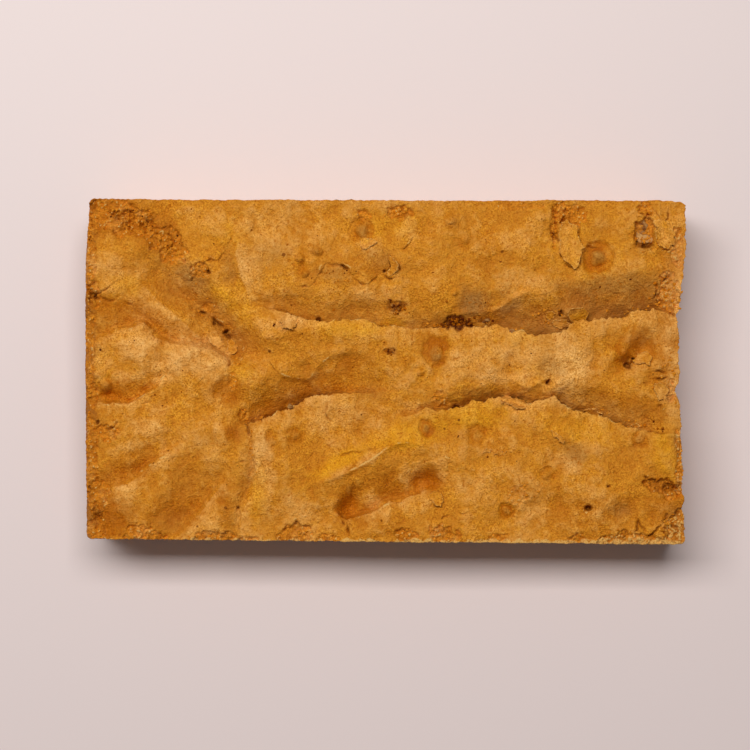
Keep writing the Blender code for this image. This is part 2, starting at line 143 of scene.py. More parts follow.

# A ridge is the other way up: a crest with crust falling away over left and right. Its points are
# a fold's, and dry says how much paler its edge is painted, partly dry crust and partly painted
# highlight.
Ridge = namedtuple("Ridge", "height left right line dry", defaults=(0,))
RIDGES = {
    "front arc": Ridge(1.9, 5, 11, (
        (-18, -25.6, 0), (-13.7, -24.5, 0.6), (-10, -23.1, 0.9), (-6.2, -21.4, 1),
        (-2.8, -19.5, 1), (0.8, -17, 1), (3.6, -16, 0.9), (7.6, -16.3, 0.6), (12, -17.4, 0.3),
        (16, -19, 0))),
    "middle brow": Ridge(1.1, 5, 7, (
        (-30, 8, 0), (-24, 7.2, 0.8), (-16, 8.2, 1), (-8, 8.6, 1), (0, 6.5, 0.6), (6, 5, 0))),
    "front arc's sharp crest": Ridge(0.35, 0.9, 1.1, (
        (-17, -25.5, 0), (-13.7, -24.3, 0.5), (-10, -22.9, 0.9), (-6.2, -21.2, 1), (-2.8, -19.3, 1),
        (0.8, -16.8, 1), (3.6, -15.8, 0.8), (8, -16.3, 0.3), (11, -17, 0)), 0.6),
    "crumpled edge above the upper fold": Ridge(0.9, 1.2, 2.4, (
        (15, 12.8, 0), (18, 12.9, 0.8), (23.5, 13.1, 0.9), (26.4, 14.6, 1), (28.2, 15.9, 1),
        (31, 17.2, 0.6), (33, 18, 0)), 0.4),
    "upper edge of the hump": Ridge(0.3, 0.9, 1.8, (
        (-60, 8, 0), (-57.3, 8.7, 0.8), (-53.4, 10, 1), (-50.6, 8, 0.7), (-48, 6.4, 1), (-44.1, 5.6, 1),
        (-38.2, 4.7, 1), (-35.5, 3.6, 0.6), (-34, 2, 0)), 0.4),
    "left front crest": Ridge(0.4, 0.9, 1.6, (
        (-59.8, -25.4, 0), (-56.4, -23.8, 0.8), (-53, -21.6, 1), (-49.6, -19.4, 1), (-46.4, -18.2, 0.8),
        (-42.6, -18, 0.4), (-39, -19, 0)), 0.6),
    "left end crest": Ridge(0.4, 0.9, 1.8, (
        (-56.5, -6.8, 0), (-54, -6, 0.8), (-51.6, -4.4, 1), (-49.4, -2, 1), (-47, 0, 0.6),
        (-44, 1.5, 0)), 0.6),
    "right end of the front arc": Ridge(0.35, 0.8, 1.2, (
        (8, -16.4, 0), (12, -18.2, 0.6), (16, -20.3, 0.8), (19.4, -21.8, 0.6), (22, -23, 0)), 0.5),
    "brow over the middle fold": Ridge(0.7, 3.2, 1.3, (
        (-27, 3.4, 0), (-24.6, 0.8, 0.7), (-22, -1, 1), (-18.8, -1.7, 1), (-16.6, -1.5, 0.9),
        (-14.8, 0.9, 0.9), (-12.2, 3, 0.9), (-9.8, 3.7, 0.7), (-6, 4.6, 0)), 0.4),
    "pale ridge on the hump": Ridge(0.6, 1.6, 6, (
        (-52, -1, 0), (-49.6, 0, 0.7), (-46, 2.2, 1), (-42.5, 4.8, 1), (-40, 6, 0))),
    "brow over the lower fold": Ridge(0.5, 2.4, 1.0, (
        (22, -0.6, 0), (24.5, -1.4, 0.7), (28.6, -2.4, 1), (31.4, -3.8, 1), (33.4, -2.9, 0.9),
        (35.2, -2, 0.4), (36.5, -2.2, 0)), 0.3),
    "front ridge": Ridge(0.4, 0.7, 0.8, (
        (36.4, -13.2, 0), (37.5, -14.1, 1), (39, -15.2, 1), (40, -16, 0)), 0.7),
}  # fmt: skip

# A mound is a soft swelling where height is above nought, and a dent where it is below.
Mound = namedtuple("Mound", "x y long wide turn height")
MOUNDS = {
    "pale hump": Mound(-40.5, 0.2, 9, 6.5, 0, 1.1),
    "hump left of it": Mound(-54.4, 4.4, 4.4, 3.6, 20, 0.7),
    "trough between them": Mound(-49.6, 3.6, 2.6, 4.5, -35, -0.7),
    "hump behind the middle fold": Mound(-28.7, -2.9, 5.5, 4.5, 0, 1.0),
    "dark dent": Mound(-28.2, 3.2, 4, 2.8, 0, -1.9),
    "dent left of the hump": Mound(-35.6, -4.4, 3.2, 4.5, -30, -1.1),
    "dent in the back left": Mound(-56.2, 13.6, 4.5, 3, 0, -0.9),
    "dent by the upper fold": Mound(-23.2, 15.4, 4, 2, 0, -0.7),
    "nut under the back crust": Mound(-3.4, 22.9, 5.5, 3.2, 0, 0.9),
    "middle plateau": Mound(16.4, 3.7, 20, 7, 0, 0.6),
    "front plateau": Mound(38.4, -21.6, 24, 10, 0, 1.1),
    "lump on the upper fold": Mound(41.8, 12.8, 3.2, 2.2, 0, 1.9),
    "sunken hollow at the right": Mound(56.6, 4.6, 5.5, 2.8, 48, -2.0),
    "deep end of that hollow": Mound(53.0, 1.6, 2.6, 1.9, 0, -1.5),
    "dent over a nut": Mound(51.2, -30.4, 3, 2.4, 0, -0.6),
    "dent beside the front hollow": Mound(8.8, -24.4, 3.6, 2.6, 0, -1.9),
    "deep end of the front hollow": Mound(-7.6, -28.8, 2.2, 3.6, -20, -1.9),
    "swelling behind the front hollow": Mound(-14, -28, 4, 4, 0, 0.4),
    "dent left of the long step": Mound(-40, -29, 3, 6, -30, -0.7),
    "dent at the front": Mound(33, -30.5, 4, 2.2, 0, -0.5),
    "swelling at the back": Mound(26, 27, 9, 5, 0, 0.5),
    "dent at the back middle": Mound(22, 31, 3.5, 2.5, 20, -0.4),
    "bump left of the long step": Mound(-35.2, -13.4, 2.6, 2.4, 0, 0.9),
}

# A blister is a dome in a shallow, toasted bowl: depth is the bowl's and dome is the dome's height.
Blister = namedtuple("Blister", "x y radius depth dome toast")
BLISTERS = {
    "crater": Blister(46.9, 25.1, 3.7, 0.85, 1.3, 0.95),
    "ring": Blister(11.2, 3.7, 3.3, 0.4, 1.1, 0.95),
    "twin of the ring": Blister(7.6, -0.4, 1.8, 0.1, 0.7, 0.5),
    "above the twin": Blister(5.0, 2.2, 1.7, -0.1, 0.45, 0.5),
    "left": Blister(-61.3, -3.5, 2.8, 0.35, 1.2, 0.5),
    "burst": Blister(-5.2, 30.8, 2.9, 0.5, 1.1, 0.8),
    "back cluster, left": Blister(-18.9, 24.8, 2.4, 0.15, 1.15, 0.4),
    "back cluster, right": Blister(-14.9, 26.2, 2.5, 0.15, 1.1, 0.35),
    "back cluster, front": Blister(-17.4, 21.6, 2.1, 0.15, 1.0, 0.3),
    "front, nubbed": Blister(8.9, -12.7, 2.0, 0.5, 0.45, 1.0),
    "front, right": Blister(20.4, -14.5, 2.4, 0.3, 0.2, 0.7),
    "front, far right": Blister(26.7, -30.8, 2.0, 0.35, 0.4, 0.9),
    "behind the crease": Blister(15.3, 17.2, 1.5, 0.15, 0.6, 0.1),
    "middle left": Blister(-19.7, -14.5, 2.0, 0.2, 0.4, 0.6),
    "front right": Blister(35.5, -23.3, 2.2, 0.25, 0.6, 0.5),
    "far right": Blister(56.0, -15.8, 1.8, 0.25, 0.3, 0.7),
    "back middle": Blister(14.2, 33.0, 2.6, 0.1, 0.6, 0.5),
    "back middle, right": Blister(17.8, 28.6, 2.0, 0.05, 0.6, 0.35),
    "brown lump in the hollow at the right": Blister(52.5, 3.4, 2.7, 0.0, 1.3, 1.0),
    "left, beside the chips": Blister(-30.5, 32, 3.4, 0.2, 0.3, 0.4),
    "front middle": Blister(-24.6, -15.6, 1.8, 0.2, 0.2, 0.4),
}

# A chip is where the crust has broken away and the crumb shows lower down. Where it is burnt, the
# crumb is caramelised, as where a nut or a lump of sugar lay, and where burnt is below nought, the
# crumb is dry and pale.
Chip = namedtuple("Chip", "x y long wide depth burnt", defaults=(0,))
CHIPS = {
    "back left corner": Chip(-61, 34.5, 6, 3.4, 0.9),
    "back left patch": Chip(-54.5, 33.2, 3.5, 2.6, 0.9),
    "back left run": Chip(-49.5, 29.5, 3.8, 2.8, 1.0, 0.2),
    "back left tail": Chip(-46.5, 26.0, 3.4, 2.2, 0.8),
    "back left crumbs": Chip(-40.2, 22.2, 2.0, 1.6, 0.6),
    "burst blister's rim": Chip(-4.7, 34.3, 1.8, 1.2, 0.5),
    "back middle patch": Chip(2.6, 34.6, 2.6, 2.1, 0.7),
    "back right groove, top": Chip(38.4, 35.2, 1.6, 2.6, 0.7),
    "back right groove": Chip(37.2, 31.4, 0.8, 3.6, 0.9),
    "back right patch": Chip(41.6, 33.6, 3.6, 2.0, 0.6),
    "nut hole at the back right": Chip(57.2, 31.0, 1.9, 3.6, 2.1),
    "gap at the nut's foot": Chip(57.0, 27.6, 1.5, 0.7, 1.0, 0.8),
    "back right of the nut": Chip(57.4, 35.2, 1.8, 1.6, 0.7, -0.3),
    "crumbled right edge": Chip(62.4, 17.5, 2.4, 3.8, 1.1, -0.45),
    "right edge, upper": Chip(64.6, 26.4, 1.4, 4.4, 0.7, -0.5),
    "hole at the front right": Chip(60.6, -25.6, 3.4, 1.7, 2.0, 0.42),
    "that hole's mouth": Chip(63.6, -26.6, 2.2, 1.6, 1.2, -0.2),
    "front right corner": Chip(64.4, -35.4, 3.8, 4.0, 1.3, -0.62),
    "front right edge": Chip(54.0, -37.4, 6.2, 1.6, 1.0, -0.62),
    "front left edge": Chip(-38.5, -36.8, 5.0, 1.5, 0.9, -0.35),
    "front left corner": Chip(-53.0, -36.2, 3.6, 1.8, 0.8, -0.25),
    "front edge, left of the hollow": Chip(-20, -36.2, 3.2, 1.9, 0.8, -0.35),
    "front edge, far left": Chip(-30.4, -37.6, 2.0, 1.2, 0.9),
    "front edge, right of the hollow": Chip(5.0, -36.4, 2.8, 1.6, 0.8, -0.35),
    "front edge, middle": Chip(13.3, -36.0, 3.2, 1.9, 0.8, -0.35),
    "front edge, under the far blister": Chip(25.4, -37.0, 2.4, 1.1, 0.7),
    "front edge, right": Chip(42.2, -37.2, 1.6, 1.4, 0.8),
    "front edge, left of the crack": Chip(-12.6, -37.0, 2.0, 0.9, 0.6),
    "left end, hollow": Chip(-64.6, -5.6, 1.2, 3.0, 0.5),
    "left end, ridge": Chip(-61.4, -13.4, 2.4, 1.8, 0.5),
    "left end, front": Chip(-63.4, -28.0, 2.2, 5.0, 0.5),
    "left end, corner": Chip(-63.4, -34.6, 2.4, 2.6, 0.5),
    "left end, crack": Chip(-64.2, 15.8, 1.4, 3.2, 0.7),
    "left end, back strip": Chip(-65.2, 24.0, 1.5, 9.0, 0.35, -0.25),
    "left end, middle strip": Chip(-65.2, 4.0, 1.3, 8.0, 0.35),
    "left end, front strip": Chip(-65.0, -18.0, 1.6, 9.0, 0.4),
    "right edge, lower": Chip(64.6, -21.0, 0.9, 6.0, 0.6, -0.6),
    "right edge, notch": Chip(62.8, -4.6, 1.1, 2.6, 0.9, -0.4),
    "crumbs over the middle fold": Chip(-27.6, -11.2, 2.6, 0.9, 0.3),
    "crumbs at the lower fold": Chip(12.4, -6.2, 1.8, 2.0, 0.35),
    "crumbs on the front plateau": Chip(29.0, -27.5, 1.8, 2.4, 0.2),
    "burnt cluster": Chip(15.8, 10.2, 3.4, 1.8, 0.25, 1.6),
    "burnt cluster's tail": Chip(20.6, 11.4, 1.6, 0.7, 0.2, 0.6),
    "smaller burnt cluster": Chip(2.6, 14.2, 2.2, 1.1, 0.3, 0.75),
    "burnt streak": Chip(0.9, 4.2, 1.5, 0.6, 0.2, 0.7),
    "scorched corner, left": Chip(-59.2, 34.2, 1.6, 1.0, 0.3, 0.36),
    "scorched corner, right": Chip(-51.6, 33.4, 1.8, 1.0, 0.3, 0.36),
    "scorched left end": Chip(-64.6, 16.6, 0.8, 1.8, 0.3, 0.6),
    "scorched front left": Chip(-63.4, -31.0, 1.4, 1.6, 0.3, 0.5),
    "reddish crumb": Chip(-20.8, -7.9, 0.9, 0.8, 0.2, 0.55),
    "crumbs by the dark dent": Chip(-38.6, 14.0, 1.6, 0.9, 0.3),
    "crumbs over the valley": Chip(-34.6, 9.4, 1.2, 0.8, 0.3, 0.4),
    "crumbs below the valley": Chip(-33.6, -2.2, 0.8, 1.6, 0.3),
    "crumbs at the middle fold's end": Chip(-31.2, -9.4, 1.1, 1.3, 0.5),
    "granular edge, back middle": Chip(30, 36.2, 5, 0.9, 0.2),
}

# A crack is a thin groove. Where lift is above nought, the crust to the left of its line stands
# up by that much, as a sheet or flake whose edge shows. Points are (x, y).
Crack = namedtuple("Crack", "width depth lift line")
CRACKS = {
    "left end Y, upper arm": Crack(0.28, 0.7, 0.25, (
        (-64, 16.2), (-62.2, 17.4), (-60.7, 18.6), (-59.3, 19.7), (-58.3, 20.4))),
    "left end Y, lower arm": Crack(0.3, 0.8, 0.0, (
        (-64, 16.2), (-62.4, 15.7), (-60.2, 15.8), (-58.4, 15.2), (-56.6, 14.5), (-55.4, 14.1))),
    "back left, long crack": Crack(0.28, 0.7, 0.3, (
        (-40.6, 22.9), (-39.5, 23.9), (-38.1, 24.5), (-36.8, 24.6), (-35.6, 25.7), (-34.6, 26.9))),
    "back left, its end": Crack(0.25, 0.6, 0.2, (
        (-35.2, 27.3), (-34.4, 28.8), (-33.4, 30.0))),
    "back left, chip's arc": Crack(0.3, 0.7, 0.1, (
        (-52.2, 28.9), (-50.5, 29.9), (-48.6, 30.3), (-46.9, 29.4), (-46.6, 28.5))),
    "back left, smooth patch": Crack(0.25, 0.6, 0.25, (
        (-45.4, 21.4), (-44.3, 20.1), (-43, 20), (-42.1, 20.8), (-41.3, 22))),
    "valley wall": Crack(0.38, 1.3, 0.35, (
        (-43.2, 14.1), (-40.6, 13), (-38.4, 11.7), (-36.6, 10.2), (-35.3, 8.6), (-33.8, 7),
        (-32.5, 6), (-32.1, 4.6), (-32.1, 3.3), (-33.1, 2.9), (-33.9, 2.2), (-34.1, 1))),
    "valley wall, inner sliver": Crack(0.22, 0.5, 0.25, (
        (-39.2, 7.1), (-37.8, 5.9), (-36.4, 5))),
    "valley wall, flake": Crack(0.22, 0.5, 0.0, (
        (-33.9, 2.2), (-33, 1.4), (-32.1, 2))),
    "back middle, winding crack": Crack(0.3, 0.8, 0.4, (
        (-18.6, 18.6), (-16.4, 18.6), (-14.9, 20), (-14.1, 21.4), (-12.8, 23.4), (-10.2, 23.3),
        (-8.4, 22.4), (-7.4, 21.2), (-6.3, 20.1), (-4.5, 19.3), (-3, 20), (-1.7, 20.7))),
    "back middle, above it": Crack(0.3, 0.7, 0.2, (
        (-9.9, 22.7), (-9.2, 22.8), (-8.6, 22.3))),
    "curl, outer": Crack(0.4, 0.9, -0.5, (
        (1.4, 25.1), (2.6, 24.6), (2.9, 23.1), (2.4, 21.3), (1.2, 20.5), (0.1, 20.9))),
    "curl, inner": Crack(0.3, 0.7, 0.3, (
        (0.5, 24.2), (1.2, 22.9), (0.5, 21.6))),
    "back middle, round flake": Crack(0.25, 0.6, 0.35, (
        (2.7, 26.8), (4.3, 27.1), (5.4, 27.9), (6.3, 29), (6.5, 29.7))),
    "back middle, its neighbour": Crack(0.2, 0.5, 0.2, (
        (6.5, 28.4), (7.4, 28.4), (7.8, 28.8))),
    "back right of middle": Crack(0.22, 0.5, 0.3, (
        (12.2, 33.4), (13.1, 32.8), (14.2, 32.3), (15.6, 32.5))),
    "back right, flake's side": Crack(0.28, 0.8, -0.35, (
        (41.4, 31.8), (42.9, 31.5), (42.6, 30), (42.8, 28.8), (43.4, 27.7), (43.9, 27.3),
        (43.4, 26.4), (42.5, 25.5), (42.2, 25.2), (42.5, 24.2), (42.4, 22.7), (41.3, 23),
        (39.9, 24.1), (38.9, 25.4), (38.4, 27.3))),
    "back right, crater's edge": Crack(0.25, 0.7, 0.25, (
        (43.9, 27.4), (45.4, 27.8), (47.2, 27.7), (48.4, 27.4))),
    "back right, groove": Crack(0.45, 1.0, 0.0, (
        (37.9, 34.9), (38.3, 33.1), (37.6, 31.4), (37.1, 29.9), (37.7, 28.4), (37.6, 26.8))),
    "nut hole, undercut": Crack(0.4, 1.6, -0.5, (
        (55.4, 26.8), (55.6, 27.9), (56.6, 28.2), (58.2, 28), (58.9, 27.3), (58.4, 26.7))),
    "right of the nut, plate": Crack(0.25, 0.7, -0.3, (
        (59.2, 28.4), (60.4, 27), (62.1, 26.8), (63.5, 27.6), (64.6, 29.4))),
    "back right corner arc": Crack(0.25, 0.7, 0.2, (
        (59.3, 35.2), (60.4, 33.9), (61.2, 33.5), (62, 33.7), (62.2, 35))),
    "right edge, arc": Crack(0.35, 1.0, 0.2, (
        (63.1, 21), (61.9, 20), (60.4, 18), (59.9, 16.5), (59.5, 15.2))),
    "right edge, bar": Crack(0.3, 0.8, 0.2, ((60.4, 18), (62.8, 17.8))),
    "upper fold, right lip": Crack(0.35, 1.1, 0.0, (
        (53.3, 13.6), (54.9, 13), (57, 13), (59.3, 13.4), (61, 13.1), (62.7, 12.9), (63.7, 12.2))),
    "upper fold, small patch": Crack(0.25, 0.6, 0.4, (
        (-24.6, 9.6), (-23.1, 9.9), (-22.2, 9.4), (-20.9, 8.9), (-20, 9.1), (-19.7, 9.9),
        (-19.4, 10.8), (-18.6, 11.3))),
    "upper fold, cross crack": Crack(0.3, 1.1, 0.0, (
        (-2.1, 13.2), (-1.9, 11), (-1.4, 9.9), (-0.5, 8.6))),
    "by the black speck": Crack(0.25, 0.6, 0.0, ((-14.6, 10.6), (-14.2, 9.7))),
    "middle fold, small slit": Crack(0.22, 0.6, 0.2, ((-25.6, 2.2), (-24.7, 0.9), (-23.9, 0))),
    "curved crease": Crack(0.3, 0.4, 0.25, (
        (-10.6, -6.2), (-12.2, -7.7), (-12.7, -9.5), (-11.6, -11))),
    "left of the long step": Crack(0.3, 0.9, 0.0, (
        (-32, -8.9), (-31.6, -10.8), (-30.2, -12.2), (-29.6, -13.2), (-29.9, -14.4))),
    "long step, branch": Crack(0.3, 0.7, 0.25, (
        (-33.1, -20.9), (-31.8, -20), (-30.5, -19.6))),
    "front arc, thin crease": Crack(0.25, 0.5, 0.2, (
        (-9.8, -18.9), (-8.8, -18.3), (-7.4, -18), (-5.6, -17.6), (-4.3, -17.2), (-2.5, -16.7))),
    "front hollow, crack to the edge": Crack(0.45, 1.2, 0.2, (
        (-9.2, -32), (-8.7, -33.7), (-8.2, -35.2), (-7.8, -36.4))),
    "front hollow, flake": Crack(0.25, 0.6, 0.35, (
        (10.2, -28.8), (11.1, -29.5), (12.2, -29.5), (12.7, -28.8))),
    "front, small crack": Crack(0.25, 0.6, 0.2, (
        (12, -32.6), (12.7, -31.9), (14, -31.5))),
    "front, small crack beside it": Crack(0.22, 0.5, 0.2, (
        (16.2, -31.7), (17.1, -31.5), (17.7, -31))),
    "front left chip's edge": Crack(0.3, 0.8, 0.3, (
        (-22.6, -35.2), (-21.4, -34.5), (-20.3, -33.9), (-19.3, -33.2), (-18.6, -33.9),
        (-17, -34.1), (-16.2, -34.8))),
    "front, short line": Crack(0.2, 0.4, 0.15, ((21.4, -26), (23, -26))),
    "bruise's slit": Crack(0.35, 1.0, 0.0, ((35.3, -2), (35.9, -2.7), (36.7, -3.4))),
    "right end, middle cracks": Crack(0.3, 0.9, 0.2, ((58.6, 0), (60.6, 0.2), (62.2, -0.2))),
    "right end, long crack": Crack(0.4, 1.3, 0.25, (
        (59.3, -1.6), (61, -1.6), (62.2, -1.4), (62.7, -2))),
    "right notch, inner edge": Crack(0.4, 1.1, 0.4, (
        (62, -3.4), (61.4, -4.6), (61.1, -6), (61.2, -7.4), (60.3, -8.4))),
    "front right, thin crack": Crack(0.22, 0.6, 0.2, (
        (59.2, -20), (58.3, -21.1), (57.6, -22))),
    "hole at the front right, brow": Crack(0.4, 1.2, 0.3, (
        (57.2, -23.4), (58.2, -24.2), (59.4, -24.5), (61.2, -24.7), (63, -24.6), (63.8, -25.6))),
    "front right corner, outer": Crack(0.35, 1.0, 0.2, (
        (60.6, -33.6), (61.6, -32.2), (63, -31.4), (64.8, -30.8))),
    "front right corner, inner": Crack(0.35, 1.0, 0.2, (
        (57.6, -36.6), (59.2, -35.4), (61, -34.2), (63.2, -34.1), (64.9, -34.2))),
    "front right edge, notch": Crack(0.3, 0.8, 0.2, (
        (51, -36), (52.2, -35), (53.6, -35.4), (55.4, -34.6), (55.8, -33.2), (57.4, -35))),
    "left end, front ridge": Crack(0.35, 0.8, 0.3, (
        (-62, -13), (-60.6, -12.7), (-59.6, -12.3), (-59.1, -11.6), (-58.4, -11.4))),
    "behind the left fold": Crack(0.22, 0.5, 0.2, (
        (-53.2, -7.4), (-51.8, -6.8), (-50.4, -5.6))),
}  # fmt: skip

# A pit is a small round hole: (x, y, radius, depth)
PITS = (
    (-35.2, 8.6, 0.55, 2.0), (-38, 10.5, 0.35, 1.2), (-14.5, 10.7, 0.6, 1.3),
    (38.6, 12.9, 0.6, 1.6), (-63.4, -11.6, 0.4, 1.2), (35.9, -2.6, 0.45, 1.6),
    (44.6, -30.5, 0.72, 2.2), (15.7, -8, 0.7, 1.6), (-32, -30, 0.35, 1.0), (-38.9, 21.9, 0.4, 1.2),
    (49.2, -25, 0.35, 0.8), (53.6, 1.2, 0.6, 1.6), (54.6, 2.4, 0.4, 1.6), (-0.2, 21.7, 0.4, 1.2),
    (-65, -26, 0.4, 1.0), (-63.5, 16.3, 0.5, 1.2),
)  # fmt: skip

# A flake is a thin loose sheet of crust lying over the plane of what is under it. Its middle is
# lifted, it rises by tilt in the direction of turn, and its rim curls up. Its outline is in plan.
Flake = namedtuple("Flake", "lift tilt turn curl outline")
FLAKES = {
    "tall plate, back right": Flake(0.35, 0.06, -45, 0.12, (
        (39.1, 33), (41.3, 32.6), (42.8, 31.5), (42.6, 30.1), (42.8, 28.8), (43.5, 27.7),
        (43.7, 26.8), (42.8, 25.5), (42.4, 22.7), (41.3, 23.1), (39.9, 24.2), (38.8, 25.5),
        (38.4, 27.3), (38.4, 29.9))),
    "by the burst blister": Flake(0.45, 0.15, -60, 0.2, (
        (-5.6, 28.4), (-5.4, 27.3), (-4.3, 26.8), (-3.2, 27.3), (-2.1, 28.2), (-2.5, 29),
        (-4.3, 29.3))),
    "curl": Flake(0.3, 0.12, 0, 0.22, (
        (0.6, 24.9), (2.1, 24.9), (3, 23.3), (2.5, 21.6), (1.2, 20.5), (0.3, 21.3), (1.2, 22.9))),
    "upper fold, bright": Flake(0.6, 0.12, 90, 0.2, (
        (39.9, 12.8), (41, 13.9), (43.2, 14.1), (45, 13.2), (44.6, 11.4), (42.8, 10.3), (41, 11))),
    "upper fold, front": Flake(0.8, 0.12, 90, 0.15, (
        (36.9, 11), (38.4, 11.4), (40.2, 11), (41.7, 10.3), (40.6, 9.5), (39.1, 9.2), (37.5, 9.9))),
    "upper fold, left": Flake(0.4, 0.1, 60, 0.15, (
        (35.1, 12.1), (36.2, 13), (37.7, 12.5), (37.3, 11.4), (35.8, 11.4))),
    "lower fold, long": Flake(0.8, 0.1, 100, 0.15, (
        (24.8, -6.6), (25.2, -5.9), (27, -5.7), (28.7, -6.2), (30.3, -6.4), (31.6, -7.5),
        (31.1, -8.4), (28.7, -8.1), (27, -7.5))),
    "right hollow": Flake(0.7, 0.12, 60, 0.25, (
        (54.7, 2.2), (55.8, 3.7), (57.8, 4.2), (58.6, 3.1), (58.2, 1.5), (56.7, 1.8), (55.3, 1.3))),
    "right of the nut": Flake(0.3, 0.05, -60, 0.08, (
        (59.3, 33), (61.5, 33.2), (63, 31.7), (63.9, 29.5), (63.5, 27.7), (62.2, 26.8),
        (60.4, 27.1), (59.3, 28.4))),
    "upper fold, patch": Flake(0.1, 0.04, 120, 0.05, (
        (-23.4, 11), (-22.3, 11.9), (-20.4, 12.1), (-18.8, 11.7), (-19.5, 10.3), (-20.1, 9),
        (-21.7, 9.2), (-22.8, 9.9))),
    "front hollow": Flake(0.2, 0.06, -60, 0.12, (
        (9.4, -27.5), (10.5, -26.4), (12, -26.6), (12.7, -27.9), (12.2, -29.5), (11.1, -29.3),
        (10, -28.6))),
    "valley, right": Flake(0.3, 0.1, 0, 0.15, (
        (-35.1, 6.2), (-34, 7), (-32.9, 5.9), (-32.9, 4.2), (-34, 3.1), (-34.9, 4.4))),
    "valley, left": Flake(0.2, 0.05, 150, 0.1, (
        (-39.5, 7.9), (-38, 8.6), (-36.2, 7.5), (-35.5, 5.7), (-36.6, 5.1), (-38.2, 5.9))),
    "front sliver, left": Flake(0.25, 0.1, 90, 0.1, (
        (21.2, -18.3), (22.1, -17.4), (23.7, -17.2), (23.2, -18))),
    "front sliver, right": Flake(0.25, 0.1, 90, 0.1, (
        (24.1, -18.5), (25, -17.7), (26.7, -17.8), (26.1, -18.6))),
    "front ridge": Flake(0.3, 0.1, 45, 0.15, (
        (36.2, -13.2), (36.9, -13), (38.2, -14.1), (39.5, -15.2), (38.8, -15.6), (37.3, -14.5))),
    "right notch": Flake(0.35, 0.08, 20, 0.2, (
        (59.3, -2.6), (61.5, -3.1), (62.2, -4.4), (61.3, -6.2), (60, -6.6), (59.1, -4.8))),
    "lower fold, right": Flake(0.4, 0.1, 80, 0.2, (
        (44.1, -9), (45.4, -8.1), (46.8, -8.8), (47.9, -9.7), (46.1, -10.1))),
    "lower fold, far right": Flake(0.4, 0.1, 80, 0.2, (
        (54, -12.3), (55.3, -11.7), (56.7, -12.3), (55.8, -13.2))),
}  # fmt: skip

# Loose bits lie in spills: the middle of each, how far it reaches along and across, how many
# bits it has, how big they are, and its turn
Spill = namedtuple("Spill", "x y long wide count size turn", defaults=(0,))
CRUMB_SPILLS = (
    (-49, 28, 5, 2.4, 70, 0.52, -35), (-40, 23, 2, 2, 14, 0.52), (-58, 35, 8, 2.4, 60, 0.46),
    (-40.3, 13.8, 3, 2, 10, 0.46), (1.5, 9.6, 2, 0.8, 10, 0.46), (10.5, 10.2, 3, 0.5, 12, 0.46),
    (28, 9, 4, 0.6, 14, 0.42), (38, 11.8, 4, 2, 24, 0.52), (55, 13, 5, 0.7, 20, 0.46),
    (46, -9.2, 3, 0.9, 18, 0.52), (55, -11.8, 4, 1.2, 24, 0.52), (-28, -11.8, 2.4, 1.2, 14, 0.52),
    (61.5, 17, 3, 5, 60, 0.52), (62, -33.5, 3.4, 3, 30, 0.52), (51, -36, 7, 1.2, 24, 0.46),
    (-65, -10, 0.8, 22, 50, 0.46), (-65, 22, 0.8, 12, 26, 0.46), (-20, -35.5, 3, 1, 12, 0.46),
    (13, -35.5, 3, 1.2, 14, 0.46), (4.6, -36.4, 2.6, 1, 10, 0.46), (-40, -36.5, 6, 0.8, 18, 0.42),
    (2.5, 34.6, 3, 1.6, 20, 0.52), (37.4, 31, 1.2, 4, 20, 0.46), (61, 27, 2.4, 1.4, 14, 0.46),
    (57, 35.4, 3, 1.4, 16, 0.46), (57.4, 31, 1.8, 3.4, 12, 0.5), (60, -24.6, 4, 1.2, 16, 0.46),
    (-33.2, 1.6, 1.5, 1.6, 8, 0.46), (-61.3, -13, 3, 1.6, 20, 0.46), (11.5, -6, 2, 2, 16, 0.46),
    (-9, 19.6, 5, 1, 14, 0.4, 10), (31, -26, 4, 5, 16, 0.4), (-31, -11, 1, 3, 16, 0.4),
    (-29.6, -18, 0.8, 5, 14, 0.36), (62, 1, 2.5, 6, 24, 0.46), (0, 0, 62, 36, 110, 0.34),
)  # fmt: skip
DARK_SPILLS = (
    (15.7, 10.1, 3.4, 1.7, 130, 0.5, 5), (2.4, 14.2, 2.6, 1.4, 34, 0.45, -25),
    (0.9, 4.2, 1.6, 0.7, 12, 0.5, -50), (15.3, -8.2, 0.9, 0.4, 9, 0.45, 10),
    (-64.9, 16.5, 0.6, 1.6, 12, 0.4), (-35.6, 8.4, 0.6, 0.9, 5, 0.45),
    (-64.8, 30, 0.4, 3.5, 14, 0.4), (-58, 34.4, 5, 1.6, 30, 0.35), (-51.8, 31.8, 1.4, 1.0, 12, 0.4),
    (-14.5, 10.3, 0.3, 0.6, 4, 0.55), (27.8, 8.6, 0.5, 0.4, 4, 0.6),
    (-20.8, -7.9, 0.8, 0.7, 9, 0.45), (38.6, 12.8, 0.4, 0.4, 4, 0.55),
    (-24.4, 10.4, 0.3, 1.0, 5, 0.4), (54.6, 2, 0.9, 0.4, 6, 0.5, 30),
    (60.6, -12.9, 1.6, 0.5, 9, 0.4), (22.4, 11.2, 1.2, 0.6, 6, 0.4), (-31, -9.5, 0.6, 1.2, 6, 0.4),
    (-45, 27.5, 3, 1.6, 10, 0.3, -30), (-8, 22, 6, 1, 8, 0.35, 5), (42.5, -10, 5, 0.5, 8, 0.3, -15),
    (0, 0, 64, 36.5, 190, 0.2),
)  # fmt: skip
